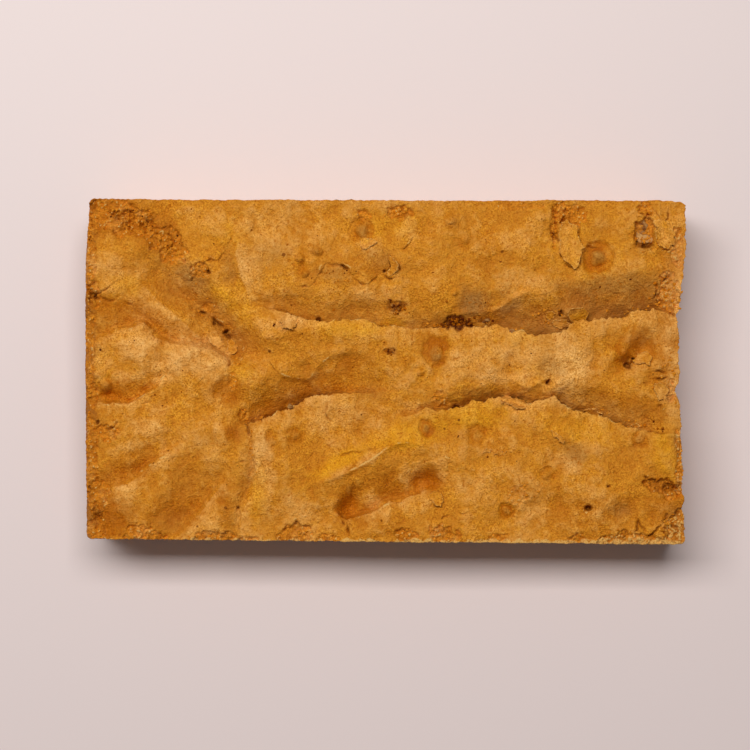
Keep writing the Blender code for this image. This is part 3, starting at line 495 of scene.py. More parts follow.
SPECKS = (  # lone dark specks: (x, y)
    (-29.4, 31), (-14.9, 29.7), (-21.5, 27.7), (-46.3, 34.3), (-42.6, 35.6), (-37.7, 27.9),
    (-45.8, 29.9), (-40.7, 13.1), (-38.2, 10.3), (-22.9, 13.4), (-20.7, 14.5), (-11.3, 13.4),
    (14.6, 22.7), (22.1, 20.9), (10.5, 21.6), (22.1, 28.8), (25.4, 24), (22.1, 15), (13.5, 15.2),
    (47.4, 18.5), (50.3, 31.7), (34.4, 33.4), (32.9, 22.2), (54, 20.2), (57.5, 17.8), (-49, -7.7),
    (-48, -7), (-50.7, -5.3), (-49.4, 0), (-62.6, 4.6), (-55.1, 6.6), (-44.8, -4.6), (8.7, -20),
    (16, -14.5), (29.4, -17.4), (28.5, -11), (22.6, -18.9), (56.9, -2.6), (59.1, -11.2),
    (-29.5, -13), (-29.4, -14.5), (-5.2, -9.7), (-13.8, -13), (32, -30.8), (-0.8, -33),
)  # fmt: skip
SPECK_SPREAD, SPECK_SIZE = 0.05, 0.38

# The surface between these features: (size of a ripple, its height, how much paler its crests are
# painted, as painted light, and how much darker its troughs, as painted shade)
RIPPLES = (
    (13.0, 0.6, 0.0), (5.0, 0.38, 0.5), (2.1, 0.14, 0.4), (0.9, 0.06, 0.3), (0.45, 0.03, 0.0),
)  # fmt: skip
BROAD_RIPPLES = 2  # the humps rise on so many of them, and the finer ones lie on the humps
HUMP_LIMIT = 1.0  # above this the crust's humps are flatter, as they rose against their own weight
HUMP_FLATNESS = 0.35

# How uneven things are, each as ripples: (size, how far)
WANDER = ((2.6, 0.35), (1.0, 0.16))  # the course of a crack, and where patches, blisters and pits lie
CREASE_WANDER = ((3.7, 0.55), (0.9, 0.2))  # the course of a fold
LIP_RAGGEDNESS = ((2.6, 0.25), (0.7, 0.15))  # a fold's lip, as a share of it
CHIP_RAGGEDNESS = ((4.0, 0.3), (1.3, 0.2), (0.6, 0.1))  # a chip's outline, as a share of its size
FLAKE_RAGGEDNESS = ((1.3, 0.3), (0.55, 0.16))  # a flake's outline
CUT_ROUGHNESS = ((4.0, 0.08), (0.8, 0.07))  # the outline along the front and the back
TORN_ROUGHNESS = ((3.2, 0.2), (1.1, 0.1), (0.5, 0.08))  # the outline of the right end
TIN_ROUGHNESS = ((3.0, 0.05), (0.8, 0.05))  # the outline of the left end
SIDE_LUMPS = ((7.0, 0.3), (2.1, 0.2), (0.8, 0.13))  # the cut sides

# Folds and ridges
LIP_REACH = 13.0  # how far from its line a fold has any effect
LIP_BACK = 2.6  # how far behind its edge a lip stands highest
LIP_FADE = 2.8  # how far behind its edge a lip's overhang fades away
EDGE_CURL, EDGE_CURL_FADE = 0.4, 3.0  # the curl of a lip's very edge
# how much paler a lip is painted behind its edge, partly dry crust and partly painted highlight, and
# how soon that fades
EDGE_PALE_AND_HIGHLIGHT, EDGE_PALE_FADE = 0.5, 2.5
TORN_EDGE_AND_HIGHLIGHT, TORN_EDGE_WIDE = 0.65, 0.35  # the pale torn line along a lip's edge, partly a painted highlight
CLOSING_OVERHANG = 1.5  # a lip that hangs over as far as this shuts its crease, whose painted shade is darkest then
CREASE_SHADOW, CREASE_LINE_WIDE = 0.8, 0.3  # the painted shadow line in a crease, and the painted shade beside it
CREASE_SHADE, CREASE_SHADE_WIDE = 0.3, 1.6
RIDGE_BEND = 1.6  # how hollow a ridge's flanks are
RIDGE_CREST_WIDE = 0.3
MOUND_FALL = 1.4  # how soon a mound levels out

# Blisters, with lengths as shares of their radius
BLISTER_STRAY = 0.6  # how far a blister's outline follows the wander
DOME_RADIUS, DOME_BEND = 0.55, 1.2
DOME_FOOT = 0.12  # the darker line round a dome's foot, painted shade where it meets the bowl
BOWL_RADIUS, BOWL_SLOPE = 1.12, 0.3

# Cracks, chips and the crumb under them
CRACK_REACH = 4
CRACK_END = 0.5  # a crack thins out over this share of its first and last steps
LIFT_FADE, LIFT_REACH = 1.5, 4.5  # how far behind a crack its lifted crust settles and lies flat
TORN_CRACK, TORN_CRACK_WIDE = 0.6, 0.3  # the frayed line beside a crack
CHIP_EDGE = 0.3  # how wide the broken edge of the crust is
CHIP_FLOOR = 0.65  # how far down a chip's floor lies, as a share of its depth
CRUMB_EDGE, SOOT_EDGE = 1.2, 0.8  # how softly bared crumb and soot begin
GRANULES = ((0.95, 0.28), (0.48, 0.22))  # the crumb's lumps: how far apart, how high
LUMP_RADIUS = 0.45  # a lump's radius, as a share of their spacing
GAP_START, GAP_SOFTNESS = 0.5, 0.3  # where the gap between lumps begins, as such a share
LUMP_TOP = 0.3  # the height of the crumb's tallest lumps, whose tops get a painted highlight
LUMP_HIGHLIGHT = 0.75
PIT_STEEPNESS = 8  # how upright a pit's wall is
# Painted shade in creases, cracks, the gaps between the crumb's lumps, and pits
FOLD_PAINTED_SHADE, CRACK_PAINTED_SHADE, GAP_PAINTED_SHADE, PIT_PAINTED_SHADE = 0.75, 0.6, 0.3, 0.7

# The bar's edges
OUTLINE_FADE = 6  # how soon a side's bulges fade on the way to the opposite side
FRONT_FRAY, FRONT_FRAY_WIDE = 0.6, 0.5  # how dry and torn the front edge of the crust is
TIN_ROLL = 2.2  # how far in from the left end the crust rolls over the edge
TIN_DROP = 1.3
TIN_TAPER = 0.9  # how far the tin leans in at the foot of the left end
FOOT_INSET = 0.35
RIGHT_INSET = 0.8  # where the middle of the right end's cut lies, in from the plain rectangle
BITE_FADE = 0.75  # how much of the right end's bites and notches is gone at the foot


# Working out the bar's surface


def ripple(x, y, size, seed):
    """Smooth noise from about -1 to 1, whose bumps are about size millimetres across."""
    places = np.column_stack([x.ravel() / size, y.ravel() / size]).tolist()
    made = [2 * noise.noise((across, along, seed)) for across, along in places]
    return np.array(made).reshape(x.shape)


def uneven(x, y, ripples, seed, start=0):
    """Start, with ripples of those sizes and heights on it."""
    return sum((height * ripple(x, y, size, seed) for size, height in ripples), start)


def bell(distance, width):
    """1 where the distance is nought, falling softly to nought over about twice the width."""
    return np.exp(-((distance / width) ** 2))


def clamp(value):
    """The value, no less than 0 and no more than 1."""
    return np.clip(value, 0, 1)


def mark(mask, amount, at=slice(None)):
    """Raises the mask to that amount, where it isn't higher already."""
    mask[at] = np.maximum(mask[at], amount)


def smooth_line(points, step=0.5):
    """A curve through the rows of points, as rows about step millimetres apart."""
    rows = np.array(points, float)
    rows = np.vstack([2 * rows[0] - rows[1], rows, 2 * rows[-1] - rows[-2]])
    made = [rows[1]]
    for before, start, end, after in zip(rows, rows[1:], rows[2:], rows[3:]):
        count = max(1, math.ceil(np.hypot(*(end - start)[:2]) / step))
        pull = 2 * before - 5 * start + 4 * end - after
        swing = 3 * start - before - 3 * end + after
        for t in np.arange(1, count + 1) / count:
            made.append(0.5 * (2 * start + (end - before) * t + pull * t**2 + swing * t**3))
    return np.array(made)


def near(x, y, low, high, reach):
    """Which points lie within reach of a box in plan."""
    inside_x = (x > low[0] - reach) & (x < high[0] + reach)
    return np.flatnonzero(inside_x & (y > low[1] - reach) & (y < high[1] + reach))


def beside(line, x, y):
    """Each point's distance from the line, positive on its left, the line's third value there, and
    the place on the line that is nearest to the point."""
    nearest = np.full(x.shape, np.inf)
    side, value, foot_x, foot_y = np.zeros((4,) + x.shape)
    for (ax, ay, a_value), (bx, by, b_value) in zip(line, line[1:]):
        run_x, run_y = bx - ax, by - ay
        length = max(run_x**2 + run_y**2, 1e-9)
        share = clamp(((x - ax) * run_x + (y - ay) * run_y) / length)
        at_x, at_y = ax + share * run_x, ay + share * run_y
        distance = np.hypot(x - at_x, y - at_y)
        closer = distance < nearest
        nearest = np.where(closer, distance, nearest)
        side = np.where(closer, np.sign(run_x * (y - ay) - run_y * (x - ax)), side)
        value = np.where(closer, a_value + share * (b_value - a_value), value)
        foot_x = np.where(closer, at_x, foot_x)
        foot_y = np.where(closer, at_y, foot_y)
    return nearest * side, value, foot_x, foot_y


def turned(x, y, degrees):
    """Points turned round the origin."""
    turn = math.radians(degrees)
    return x * math.cos(turn) - y * math.sin(turn), x * math.sin(turn) + y * math.cos(turn)


def in_oval(spot, x, y):
    """How far out in the spot's oval each point lies, squared, so it is 1 on the rim."""
    along, across = turned(x - spot.x, y - spot.y, -spot.turn)
    return (along / spot.long) ** 2 + (across / spot.wide) ** 2


def granules(x, y):
    """The height of bared, crumbly crumb, and how deep in a gap between its lumps each point is."""
    height, gap = np.zeros((2,) + x.shape)
    for size, tall in GRANULES:
        places = np.column_stack([x / size, y / size, np.full(x.shape, SEED)]).tolist()
        away = np.array([noise.voronoi(place)[0][0] for place in places])
        height += tall * (1 - (away / LUMP_RADIUS) ** 2).clip(-1, 1)
        gap = np.maximum(gap, clamp((away - GAP_START) / GAP_SOFTNESS))
    return height, gap


class Surface:
    """The top of the bar at points of its plan: height, sideways shift and what shows there."""

    def __init__(self, x, y):
        self.x, self.y = x, y
        self.up, self.high = np.zeros((2,) + x.shape)
        self.shift = np.zeros((2,) + x.shape)
        self.crumb, self.dark, self.frayed = np.zeros((3,) + x.shape)
        self.toasted, self.stain, self.pale, self.gold = np.zeros((4,) + x.shape)
        self.stray_x = x + uneven(x, y, WANDER, SEED + 5)
        self.stray_y = y + uneven(x, y, WANDER, SEED + 6)
        self.add_ripples(RIPPLES[:BROAD_RIPPLES])
        for fold in FOLDS.values():
            self.add_fold(fold)
        for mound in MOUNDS.values():
            self.up += mound.height * np.exp(-MOUND_FALL * in_oval(mound, x, y))
        self.up = np.minimum(self.up, HUMP_LIMIT + HUMP_FLATNESS * (self.up - HUMP_LIMIT))
        self.add_ripples(RIPPLES[BROAD_RIPPLES:])
        for ridge in RIDGES.values():
            self.add_ridge(ridge)
        for blister in BLISTERS.values():
            self.add_blister(blister)
        for crack in CRACKS.values():
            self.add_crack(crack)
        for chip in CHIPS.values():
            self.add_chip(chip)
        for pit in PITS:
            self.add_pit(*pit)
        from_tin = clamp((x + LENGTH / 2) / TIN_ROLL)
        self.up -= TIN_DROP * (1 - from_tin) ** 2
        to_front = y + WIDTH / 2 - 0.5 * ripple(x, y, 1.4, SEED + 4)
        mark(self.frayed, FRONT_FRAY * clamp(1.3 - to_front / FRONT_FRAY_WIDE))

    def add_ripples(self, ripples):
        """Soft bumps all over."""
        for size, height, paint in ripples:
            bumps = ripple(self.x, self.y, size, SEED)
            self.up += height * bumps
            # the crests are painted paler and the troughs more toasted, as painted light and shade
            self.high += paint * bumps

    def beside(self, line, reach, stray=True):
        """What the function beside gives, for the points within reach of the line's box."""
        line = smooth_line(line)
        at = near(self.x, self.y, line[:, :2].min(axis=0), line[:, :2].max(axis=0), reach + 1)
        if stray:
            return at, *beside(line, self.stray_x[at], self.stray_y[at])
        return at, *beside(line, self.x[at], self.y[at])

    def add_fold(self, fold):
        """A crease with a rolled slope on its left and an overhanging lip on its right."""
        at, distance, strength, foot_x, foot_y = self.beside(fold.line, LIP_REACH, False)
        x, y = self.x[at], self.y[at]
        distance = distance + uneven(x, y, CREASE_WANDER, SEED + 6) * bell(distance, 1.6)
        strength = np.clip(strength, 0, None)
        distance = distance + strength * max(0, fold.overhang - fold.rise)
        rolled = (1 - clamp(distance / fold.slope)) ** fold.bend
        out = np.clip(-distance, 0, None)
        climbed = (1 - clamp(out / fold.rise)) ** 2
        down = np.where(distance >= 0, rolled, climbed)
        lip = clamp(out / fold.rise) ** 2
        ragged = uneven(x, y, LIP_RAGGEDNESS, SEED + 7, 1)
        past = np.clip(out - fold.rise, 0, None)
        faded = clamp(1 - past / LIP_REACH)
        curled = EDGE_CURL * ragged * lip * np.exp(-past / EDGE_CURL_FADE)
        swell = faded * (curled + past / LIP_BACK * np.exp(1 - past / LIP_BACK))
        self.up[at] += strength * (fold.lip * swell - fold.depth * down)
        over = strength * fold.overhang * ragged * lip * faded * np.exp(-past / LIP_FADE)
        length = np.clip(np.hypot(foot_x - x, foot_y - y), 0.05, None)
        self.shift[0][at] += over * (foot_x - x) / length
        self.shift[1][at] += over * (foot_y - y) / length
        # Painted shade in the crease: a soft band down the slope and a dark shadow line under the lip's
        # edge, darkest where the lip shuts the crease
        inner = CREASE_SHADE * bell(distance - 0.8, CREASE_SHADE_WIDE)
        inner = inner + CREASE_SHADOW * bell(distance, CREASE_LINE_WIDE)
        closed = min(1, fold.overhang / CLOSING_OVERHANG) ** 2
        mark(self.dark, FOLD_PAINTED_SHADE * closed * strength * inner, at)
        # The slope down into the crease is painted toasted and stained: partly moister crust and partly
        # painted shade
        slope = strength * np.where(distance >= 0, 1 - (1 - rolled) ** 2, climbed)
        mark(self.toasted, fold.toast * slope, at)
        mark(self.stain, fold.stain * slope, at)
        # Along a lip's edge the crust is painted paler: partly dry, torn crust and partly a painted
        # highlight on the raised edge
        frayed = clamp(0.3 + 1.2 * ripple(x, y, 1.9, SEED + 2)) * (fold.overhang > 0)
        torn = strength * frayed * bell(out - fold.rise, TORN_EDGE_WIDE) * (out > 0)
        mark(self.frayed, TORN_EDGE_AND_HIGHLIGHT * torn, at)
        dry = EDGE_PALE_AND_HIGHLIGHT * strength * faded * np.exp(-past / EDGE_PALE_FADE)
        mark(self.pale, dry * (out > 0.6 * fold.rise), at)

    def add_ridge(self, ridge):
        """A crest that falls away on both sides, paler along its edge where it is sharp, partly dry
        crust and partly painted highlight.
        """
        at, distance, strength, _, _ = self.beside(ridge.line, max(ridge.left, ridge.right), False)
        reach = np.where(distance >= 0, ridge.left, ridge.right)
        fall = (1 - clamp(np.abs(distance) / reach)) ** RIDGE_BEND
        strength = np.clip(strength, 0, None)
        self.up[at] += strength * ridge.height * fall
        # The crest is painted paler: partly dry crust and partly a painted highlight
        crest = bell(distance, RIDGE_CREST_WIDE) * (0.7 + ripple(self.x[at], self.y[at], 1.6, SEED + 2))
        mark(self.frayed, ridge.dry * strength * crest, at)

    def add_blister(self, blister):
        """A sunken ring round a dome."""
        across = BLISTER_STRAY * self.stray_x + (1 - BLISTER_STRAY) * self.x - blister.x
        along = BLISTER_STRAY * self.stray_y + (1 - BLISTER_STRAY) * self.y - blister.y
        away = np.hypot(across, along) / blister.radius
        dome = clamp(1 - (away / DOME_RADIUS) ** 2) ** DOME_BEND
        sunken = clamp((BOWL_RADIUS - away) / BOWL_SLOPE)
        sunken = sunken**2 * (3 - 2 * sunken)
        self.up += blister.dome * dome - blister.depth * sunken
        # The foot line is painted shade where the dome meets the bowl; the ring and the dome are
        # toasted
        foot = bell(away - DOME_RADIUS, DOME_FOOT)
        ring = sunken * clamp(1 - 1.4 * dome)
        mark(self.toasted, blister.toast * (0.8 * ring + 0.3 * foot + 0.45 * dome))
        mark(self.gold, 0.5 * blister.toast * ring)
        greyed = 0.6 * clamp(2 * blister.depth)
        mark(self.stain, greyed * blister.toast * dome)

    def add_crack(self, crack):
        """A groove, with the crust on its left lifted where the crack says so."""
        line = [(x, y, place) for place, (x, y) in enumerate(crack.line)]
        at, distance, place, _, _ = self.beside(line, CRACK_REACH)
        ends = clamp(np.minimum(place, len(line) - 1 - place) / CRACK_END)
        open_here = np.clip(0.6 + 1.1 * ripple(self.x[at], self.y[at], 1.8, SEED + 8), 0.05, 1)
        strong = open_here * (0.35 + 0.65 * ends)
        side = -distance if crack.lift < 0 else distance
        groove = bell(side + 0.1, 0.75 * crack.width) * strong
        held = np.exp(-np.clip(side, 0, None) / LIFT_FADE) * (side > 0) * ends
        held = held * clamp(1 - side / LIFT_REACH)
        torn = strong * bell(side - 1.6 * crack.width, TORN_CRACK_WIDE) * min(1, 3 * abs(crack.lift))
        mark(self.frayed, TORN_CRACK * torn, at)
        self.up[at] += abs(crack.lift) * held - crack.depth * groove
        # Painted shade in the groove
        mark(self.dark, CRACK_PAINTED_SHADE * groove * min(1, crack.depth) ** 0.5, at)

    def add_chip(self, chip):
        """Crust broken off: the surface drops to crumbly crumb."""
        reach = 1.6 * max(chip.long, chip.wide)
        at = near(self.x, self.y, (chip.x, chip.y), (chip.x, chip.y), reach)
        x, y = self.x[at], self.y[at]
        away = np.hypot((x - chip.x) / chip.long, (y - chip.y) / chip.wide)
        away = uneven(x, y, CHIP_RAGGEDNESS, SEED + chip.x, away)
        inside = (1 - away) * min(chip.long, chip.wide)
        bare = clamp(0.5 + inside / CHIP_EDGE)
        height, gap = granules(x, y)
        self.up[at] += bare * (height * min(1, 2 * chip.depth) - CHIP_FLOOR * chip.depth)
        mark(self.crumb, clamp(0.5 + inside / CRUMB_EDGE), at)
        # The larger of dry, pale crumb where burnt is below nought and a painted highlight on the
        # lumps' tops
        dry = np.maximum(-chip.burnt, LUMP_HIGHLIGHT * clamp(height / LUMP_TOP - 0.1))
        mark(self.frayed, dry * bare * (1 - gap), at)
        sooty = chip.burnt * (0.75 + 0.25 * ripple(x, y, 0.9, SEED))
        sooty = sooty * clamp(0.5 + inside / SOOT_EDGE)
        # Painted shade in the gaps between the lumps, and soot where the crumb is burnt
        mark(self.dark, np.maximum(GAP_PAINTED_SHADE * bare * gap, sooty), at)

    def add_pit(self, x, y, radius, depth):
        """A small round hole."""
        away = np.hypot(self.stray_x - x, self.stray_y - y) / radius
        hole = 1 / (1 + away**PIT_STEEPNESS)
        self.up -= depth * hole
        # Painted shade in the hole
        mark(self.dark, PIT_PAINTED_SHADE * hole)
        mark(self.frayed, 0.5 * bell(away - 1.4, 0.25))


def stands_out(edge, share, roughness, seed):
    """How far a side stands out of the plain rectangle at each share of its length."""
    long = share * LENGTH
    return np.interp(share, *zip(*edge)) + uneven(long, 0 * long, roughness, seed)


def rounded(across, along, radius):
    """Points of the plain rectangle, with its corners rounded, and the way out of it there."""
    signs = np.sign(across), np.sign(along)
    from_middle = np.abs(across), np.abs(along)
    straight = LENGTH / 2 - radius, WIDTH / 2 - radius
    in_x, in_y = (clamp((far - core) / radius) for far, core in zip(from_middle, straight))
    out_x, out_y = in_x * np.sqrt(1 - in_y**2 / 2), in_y * np.sqrt(1 - in_x**2 / 2)
    x = signs[0] * np.where(in_x > 0, straight[0] + radius * out_x, from_middle[0])
    y = signs[1] * np.where(in_y > 0, straight[1] + radius * out_y, from_middle[1])
    return x, y, np.array([signs[0] * out_x, signs[1] * out_y])


def in_plan(across, along, radius):
    """Moves points of the plain rectangle to the bar's true, slightly uneven outline."""
    x, y, outward = rounded(across, along, radius)
    long_share = clamp(x / LENGTH + 0.5)
    wide_share = clamp(y / WIDTH + 0.5)
    left = stands_out(LEFT_EDGE, wide_share, TIN_ROUGHNESS, 1.5)
    right = stands_out(RIGHT_EDGE, wide_share, TORN_ROUGHNESS, 2.5)
    front = stands_out(FRONT_EDGE, long_share, CUT_ROUGHNESS, 3.5)
    back = stands_out(BACK_EDGE, long_share, CUT_ROUGHNESS, 4.5)
    x = x - left * (1 - long_share) ** OUTLINE_FADE + right * long_share**OUTLINE_FADE
    y = y - front * (1 - wide_share) ** OUTLINE_FADE + back * wide_share**OUTLINE_FADE
    return x, y, outward


def in_frame(places):
    """Rows of (x, y, z) in the plan's millimetres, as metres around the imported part."""
    return (np.asarray(places, float) - (*PLAN_MIDDLE, 0)) * MM


# What the user would change


def length_property(name, description, default):
    """A length, with its default in millimetres."""
    return bpy.props.FloatProperty(
        name=name, description=description, default=default * MM, unit="LENGTH")


def colour_property(name, description, hex_colour):
    """A colour, with its default as sRGB hex."""
    return bpy.props.FloatVectorProperty(
        name=name, description=description, size=4, subtype="COLOR", default=linear(hex_colour))


class BlondieSizes(bpy.types.PropertyGroup):
    """Sizes of the pieces that the plain solid doesn't give."""

    crust_cell: length_property("Crust cell", "Spacing of the crust's grid", 0.2)
    crust_thickness: length_property(
        "Crust thickness", "How deep the crust shows in the cut sides", 0.9)
    corner_radius: length_property(
        "Corner radius", "Rounding of the bar's upright corners", CORNER_RADIUS)
    side_cell: length_property("Side cell", "Spacing of the grid on the cut sides", 0.33)


class BlondieColours(bpy.types.PropertyGroup):
    """Colours of the baked finishes."""

    golden: colour_property("Golden", "The crust's main colour", "#d78a24")
    # Pale also paints light on ripple crests, and partly a highlight on lip edges
    pale: colour_property("Pale", "Dry, lighter crust on the humps", "#f2b05e")
    gold: colour_property("Gold", "Thin yellow crust beside the folds", "#e89e16")
    # Toasted also paints shade on fold slopes, in ripple troughs, round dome feet and in the crumb's
    # bubbles, and stain also paints shade on fold slopes and in two patches
    toasted: colour_property("Toasted", "Darker baked patches", "#b86406")
    stain: colour_property("Nut stain", "Greyish crust over a walnut", "#a57136")
    # Torn also paints highlights on lip edges, crests and the crumb's lumps
    torn: colour_property("Torn edge", "Thin dry crust where its edge is torn", "#eab765")
    crumb: colour_property("Crumb", "Moist crumb in the cut sides", "#e0a550")
    bared: colour_property("Bared crumb", "Baked crumb where the crust has chipped", "#e69024")
    tin: colour_property("Tin side", "Browned surface that baked against the tin", "#a8641c")
    # Deep is also painted shade in cracks, gaps, creases and the crumb's bubbles
    deep: colour_property("Deep", "Brown in cracks, gaps and creases", "#844409")
    skin: colour_property("Walnut skin", "Brown skin of the nuts", "#7e4216")
    kernel: colour_property("Walnut kernel", "Pale inside of the nuts", "#dfb06a")
    # Charred also paints the deepest shade in holes, cracks and creases
    charred_and_shade: colour_property("Charred", "Caramelised bits and the depths of holes", "#531803")


class BlondieStage(bpy.types.PropertyGroup):
    """Floor, lights and camera."""

    floor: colour_property("Floor", "Pale glazed floor", "#e4d3cf")
    key_power: bpy.props.FloatProperty(
        name="Key light", description="Power of the soft box over the bar", default=11.6,
        unit="POWER")
    sky: bpy.props.FloatProperty(
        name="Fill", description="Strength of the even light from all round", default=0.12)
    camera_height: length_property(
        "Camera height", "How high the camera looks straight down from", 650)
    field: length_property("Field of view", "Width that the picture shows at the crust", 165)


# Making meshes


def deselect_all():
    """An operator acts on all that is selected, so nothing is."""
    for thing in bpy.context.selected_objects:
        thing.select_set(False)


def activate(piece):
    """Makes the piece the only one that an operator acts on."""
    deselect_all()
    piece.select_set(True)
    bpy.context.view_layer.objects.active = piece


def rows_of(things, what, width=3):
    """That value of each of a mesh's vertices, normals or stored values, as rows."""
    found = np.empty(width * len(things))
    things.foreach_get(what, found)
    return found.reshape(-1, width)


def places_of(piece):
    """The piece's vertices as rows of x, y and z."""
    return rows_of(piece.data.vertices, "co")


def normals_of(piece):
    """The piece's vertex normals as rows of x, y and z."""
    return rows_of(piece.data.vertex_normals, "vector")


def move_to(piece, places):
    """Puts the piece's vertices at those rows of x, y and z."""
    piece.data.vertices.foreach_set("co", np.asarray(places, float).ravel())
    piece.data.update()


def set_attribute(piece, name, values, kind="FLOAT", what="value"):
    """Stores a value for each vertex, for the material or for a later step to read."""
    made = piece.data.attributes.new(name, kind, "POINT")
    made.data.foreach_set(what, np.asarray(values, float).ravel())


def drop_attributes(piece, *names):
    """Removes what was stored and isn't needed any more."""
    for name in names:
        piece.data.attributes.remove(piece.data.attributes[name])


def start_edit(piece, kind):
    """Edit mode for selecting that kind of element, with none selected. Gives the mesh."""
    bpy.ops.object.mode_set(mode="EDIT")
    bpy.ops.mesh.select_mode(type=kind)
    bpy.ops.mesh.select_all(action="DESELECT")
    return bmesh.from_edit_mesh(piece.data)


def edit_all(change, **settings):
    """Makes that change in edit mode to all of the active piece."""
    bpy.ops.object.mode_set(mode="EDIT")
    bpy.ops.mesh.select_all(action="SELECT")
    change(**settings)
    bpy.ops.object.mode_set(mode="OBJECT")


def split_off(piece, limit):
    """Splits off the faces up to that value of the piece's attribute share, as a new object."""
    activate(piece)
    mesh = start_edit(piece, "FACE")
    share = mesh.verts.layers.float["share"]
    for face in mesh.faces:
        face.select = all(vertex[share] < limit + ON_SEAM for vertex in face.verts)
    bmesh.update_edit_mesh(piece.data)
    bpy.ops.mesh.separate(type="SELECTED")
    bpy.ops.object.mode_set(mode="OBJECT")
    return next(thing for thing in bpy.context.selected_objects if thing != piece)


def add_grid(name, cells_x, cells_y):
    """A flat grid, one by one, with that many cells."""
    deselect_all()
    bpy.ops.mesh.primitive_grid_add(x_subdivisions=cells_x, y_subdivisions=cells_y, size=1)
    piece = bpy.context.object
    piece.name = piece.data.name = name
    return piece


def extrude_rims(piece, moves, on_rim):
    """Extrudes the open rim where on_rim picks it, once for each move, and closes it at the end.
    A move takes the rim's places and gives the new ring's."""
    mesh = start_edit(piece, "EDGE")
    for edge in mesh.edges:
        if edge.is_boundary and all(on_rim(vertex.co) for vertex in edge.verts):
            edge.select = True
    for move in moves:
        bpy.ops.mesh.extrude_edges_move()
        mesh = bmesh.from_edit_mesh(piece.data)
        ring = [vertex for vertex in mesh.verts if vertex.select]
        moved = move(np.array([vertex.co for vertex in ring]))
        for vertex, place in zip(ring, moved):
            vertex.co = place
        bmesh.update_edit_mesh(piece.data)
    bpy.ops.mesh.edge_face_add()
    bpy.ops.mesh.quads_convert_to_tris(quad_method="BEAUTY", ngon_method="BEAUTY")
    bpy.ops.object.mode_set(mode="OBJECT")


def join(pieces, name):
    """Joins the pieces into one of that name."""
    deselect_all()
    for piece in pieces:
        piece.select_set(True)
    bpy.context.view_layer.objects.active = pieces[0]
    bpy.ops.object.join()
    pieces[0].name = pieces[0].data.name = name
    return pieces[0]


def apply_modifier(piece, kind, **settings):
    """Adds a modifier with those settings and applies it."""
    made = piece.modifiers.new(kind.lower(), kind)
    for name, value in settings.items():
        setattr(made, name, value)
    activate(piece)
    bpy.ops.object.modifier_apply(modifier=made.name)


def finish_piece(piece, material, smooth=True):
    """Shades, paints and rides the piece, which stands for the plain solid."""
    piece.data.materials.clear()
    piece.data.materials.append(material)
    if smooth:
        piece.data.shade_smooth()
    else:
        piece.data.shade_flat()
    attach(piece, "root")
    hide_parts("blondie")


# Making materials


def fill_inputs(tree, node, inputs):
    """Gives the node's inputs, by name or in order, a value or another node's output."""
    for key, value in inputs.items() if isinstance(inputs, dict) else enumerate(inputs):
        if isinstance(value, bpy.types.NodeSocket):
            tree.links.new(value, node.inputs[key])
        else:
            node.inputs[key].default_value = value


def add_node(tree, kind, inputs, output=0, **settings):
    """Adds a shader node with its settings and inputs, and gives one of its outputs. MapRange takes
    its value, the range that it comes in and the range that it goes to, and Mix takes the amount
    at 0 and the lower and the upper colour at 6 and 7."""
    node = tree.nodes.new("ShaderNode" + kind)
    for name, value in settings.items():
        setattr(node, name, value)
    fill_inputs(tree, node, inputs)
    return node.outputs[output]


def coated(tree, colour, *coats, blend="MIX"):
    """The colour with coats laid over it in turn, each as (amount, colour)."""
    for amount, coat in coats:
        layers = {0: amount, 6: colour, 7: coat}
        colour = add_node(tree, "Mix", layers, 2, data_type="RGBA", blend_type=blend)
    return colour


def toned(tree, colour, amount, dark, light):
    """The colour under a tint that goes from dark to light as the amount grows."""
    tint = coated(tree, dark, (amount, light))
    return coated(tree, colour, (1.0, tint), blend="MULTIPLY")


def relief(tree, *bumps):
    """The normal of a surface with bumps laid on it in turn, each as (height, strength, how many
    millimetres tall)."""
    under = {}
    for height, strength, tall in bumps:
        inputs = {"Strength": strength, "Distance": tall * MM, "Height": height, **under}
        under = {"Normal": add_node(tree, "Bump", inputs)}
    return under["Normal"]


def per_mm(size):
    """The scale that gives a pattern on Object coordinates features that many millimetres wide."""
    return 1 / (size * MM)


def new_material(name, masks=(), clouds=()):
    """A material and its node tree, the masks that it reads from the piece, where it is on the
    piece, and its cloudy patterns, each as (how many millimetres wide, detail, roughness)."""
    made = bpy.data.materials.new(name)
    made.use_nodes = True
    tree = made.node_tree
    read = {mask: add_node(tree, "Attribute", {}, "Fac", attribute_name=mask) for mask in masks}
    place = add_node(tree, "TexCoord", {}, "Object") if clouds else None
    drawn = [
        add_node(tree, "TexNoise", {
            "Vector": place, "Scale": per_mm(wide), "Detail": detail, "Roughness": rough})
        for wide, detail, rough in clouds
    ]
    return made, tree, read, place, drawn


def finish_material(tree, inputs):
    """Links the Principled shader's inputs, and sets those that are the same all over."""
    fill_inputs(tree, tree.nodes["Principled BSDF"], inputs)


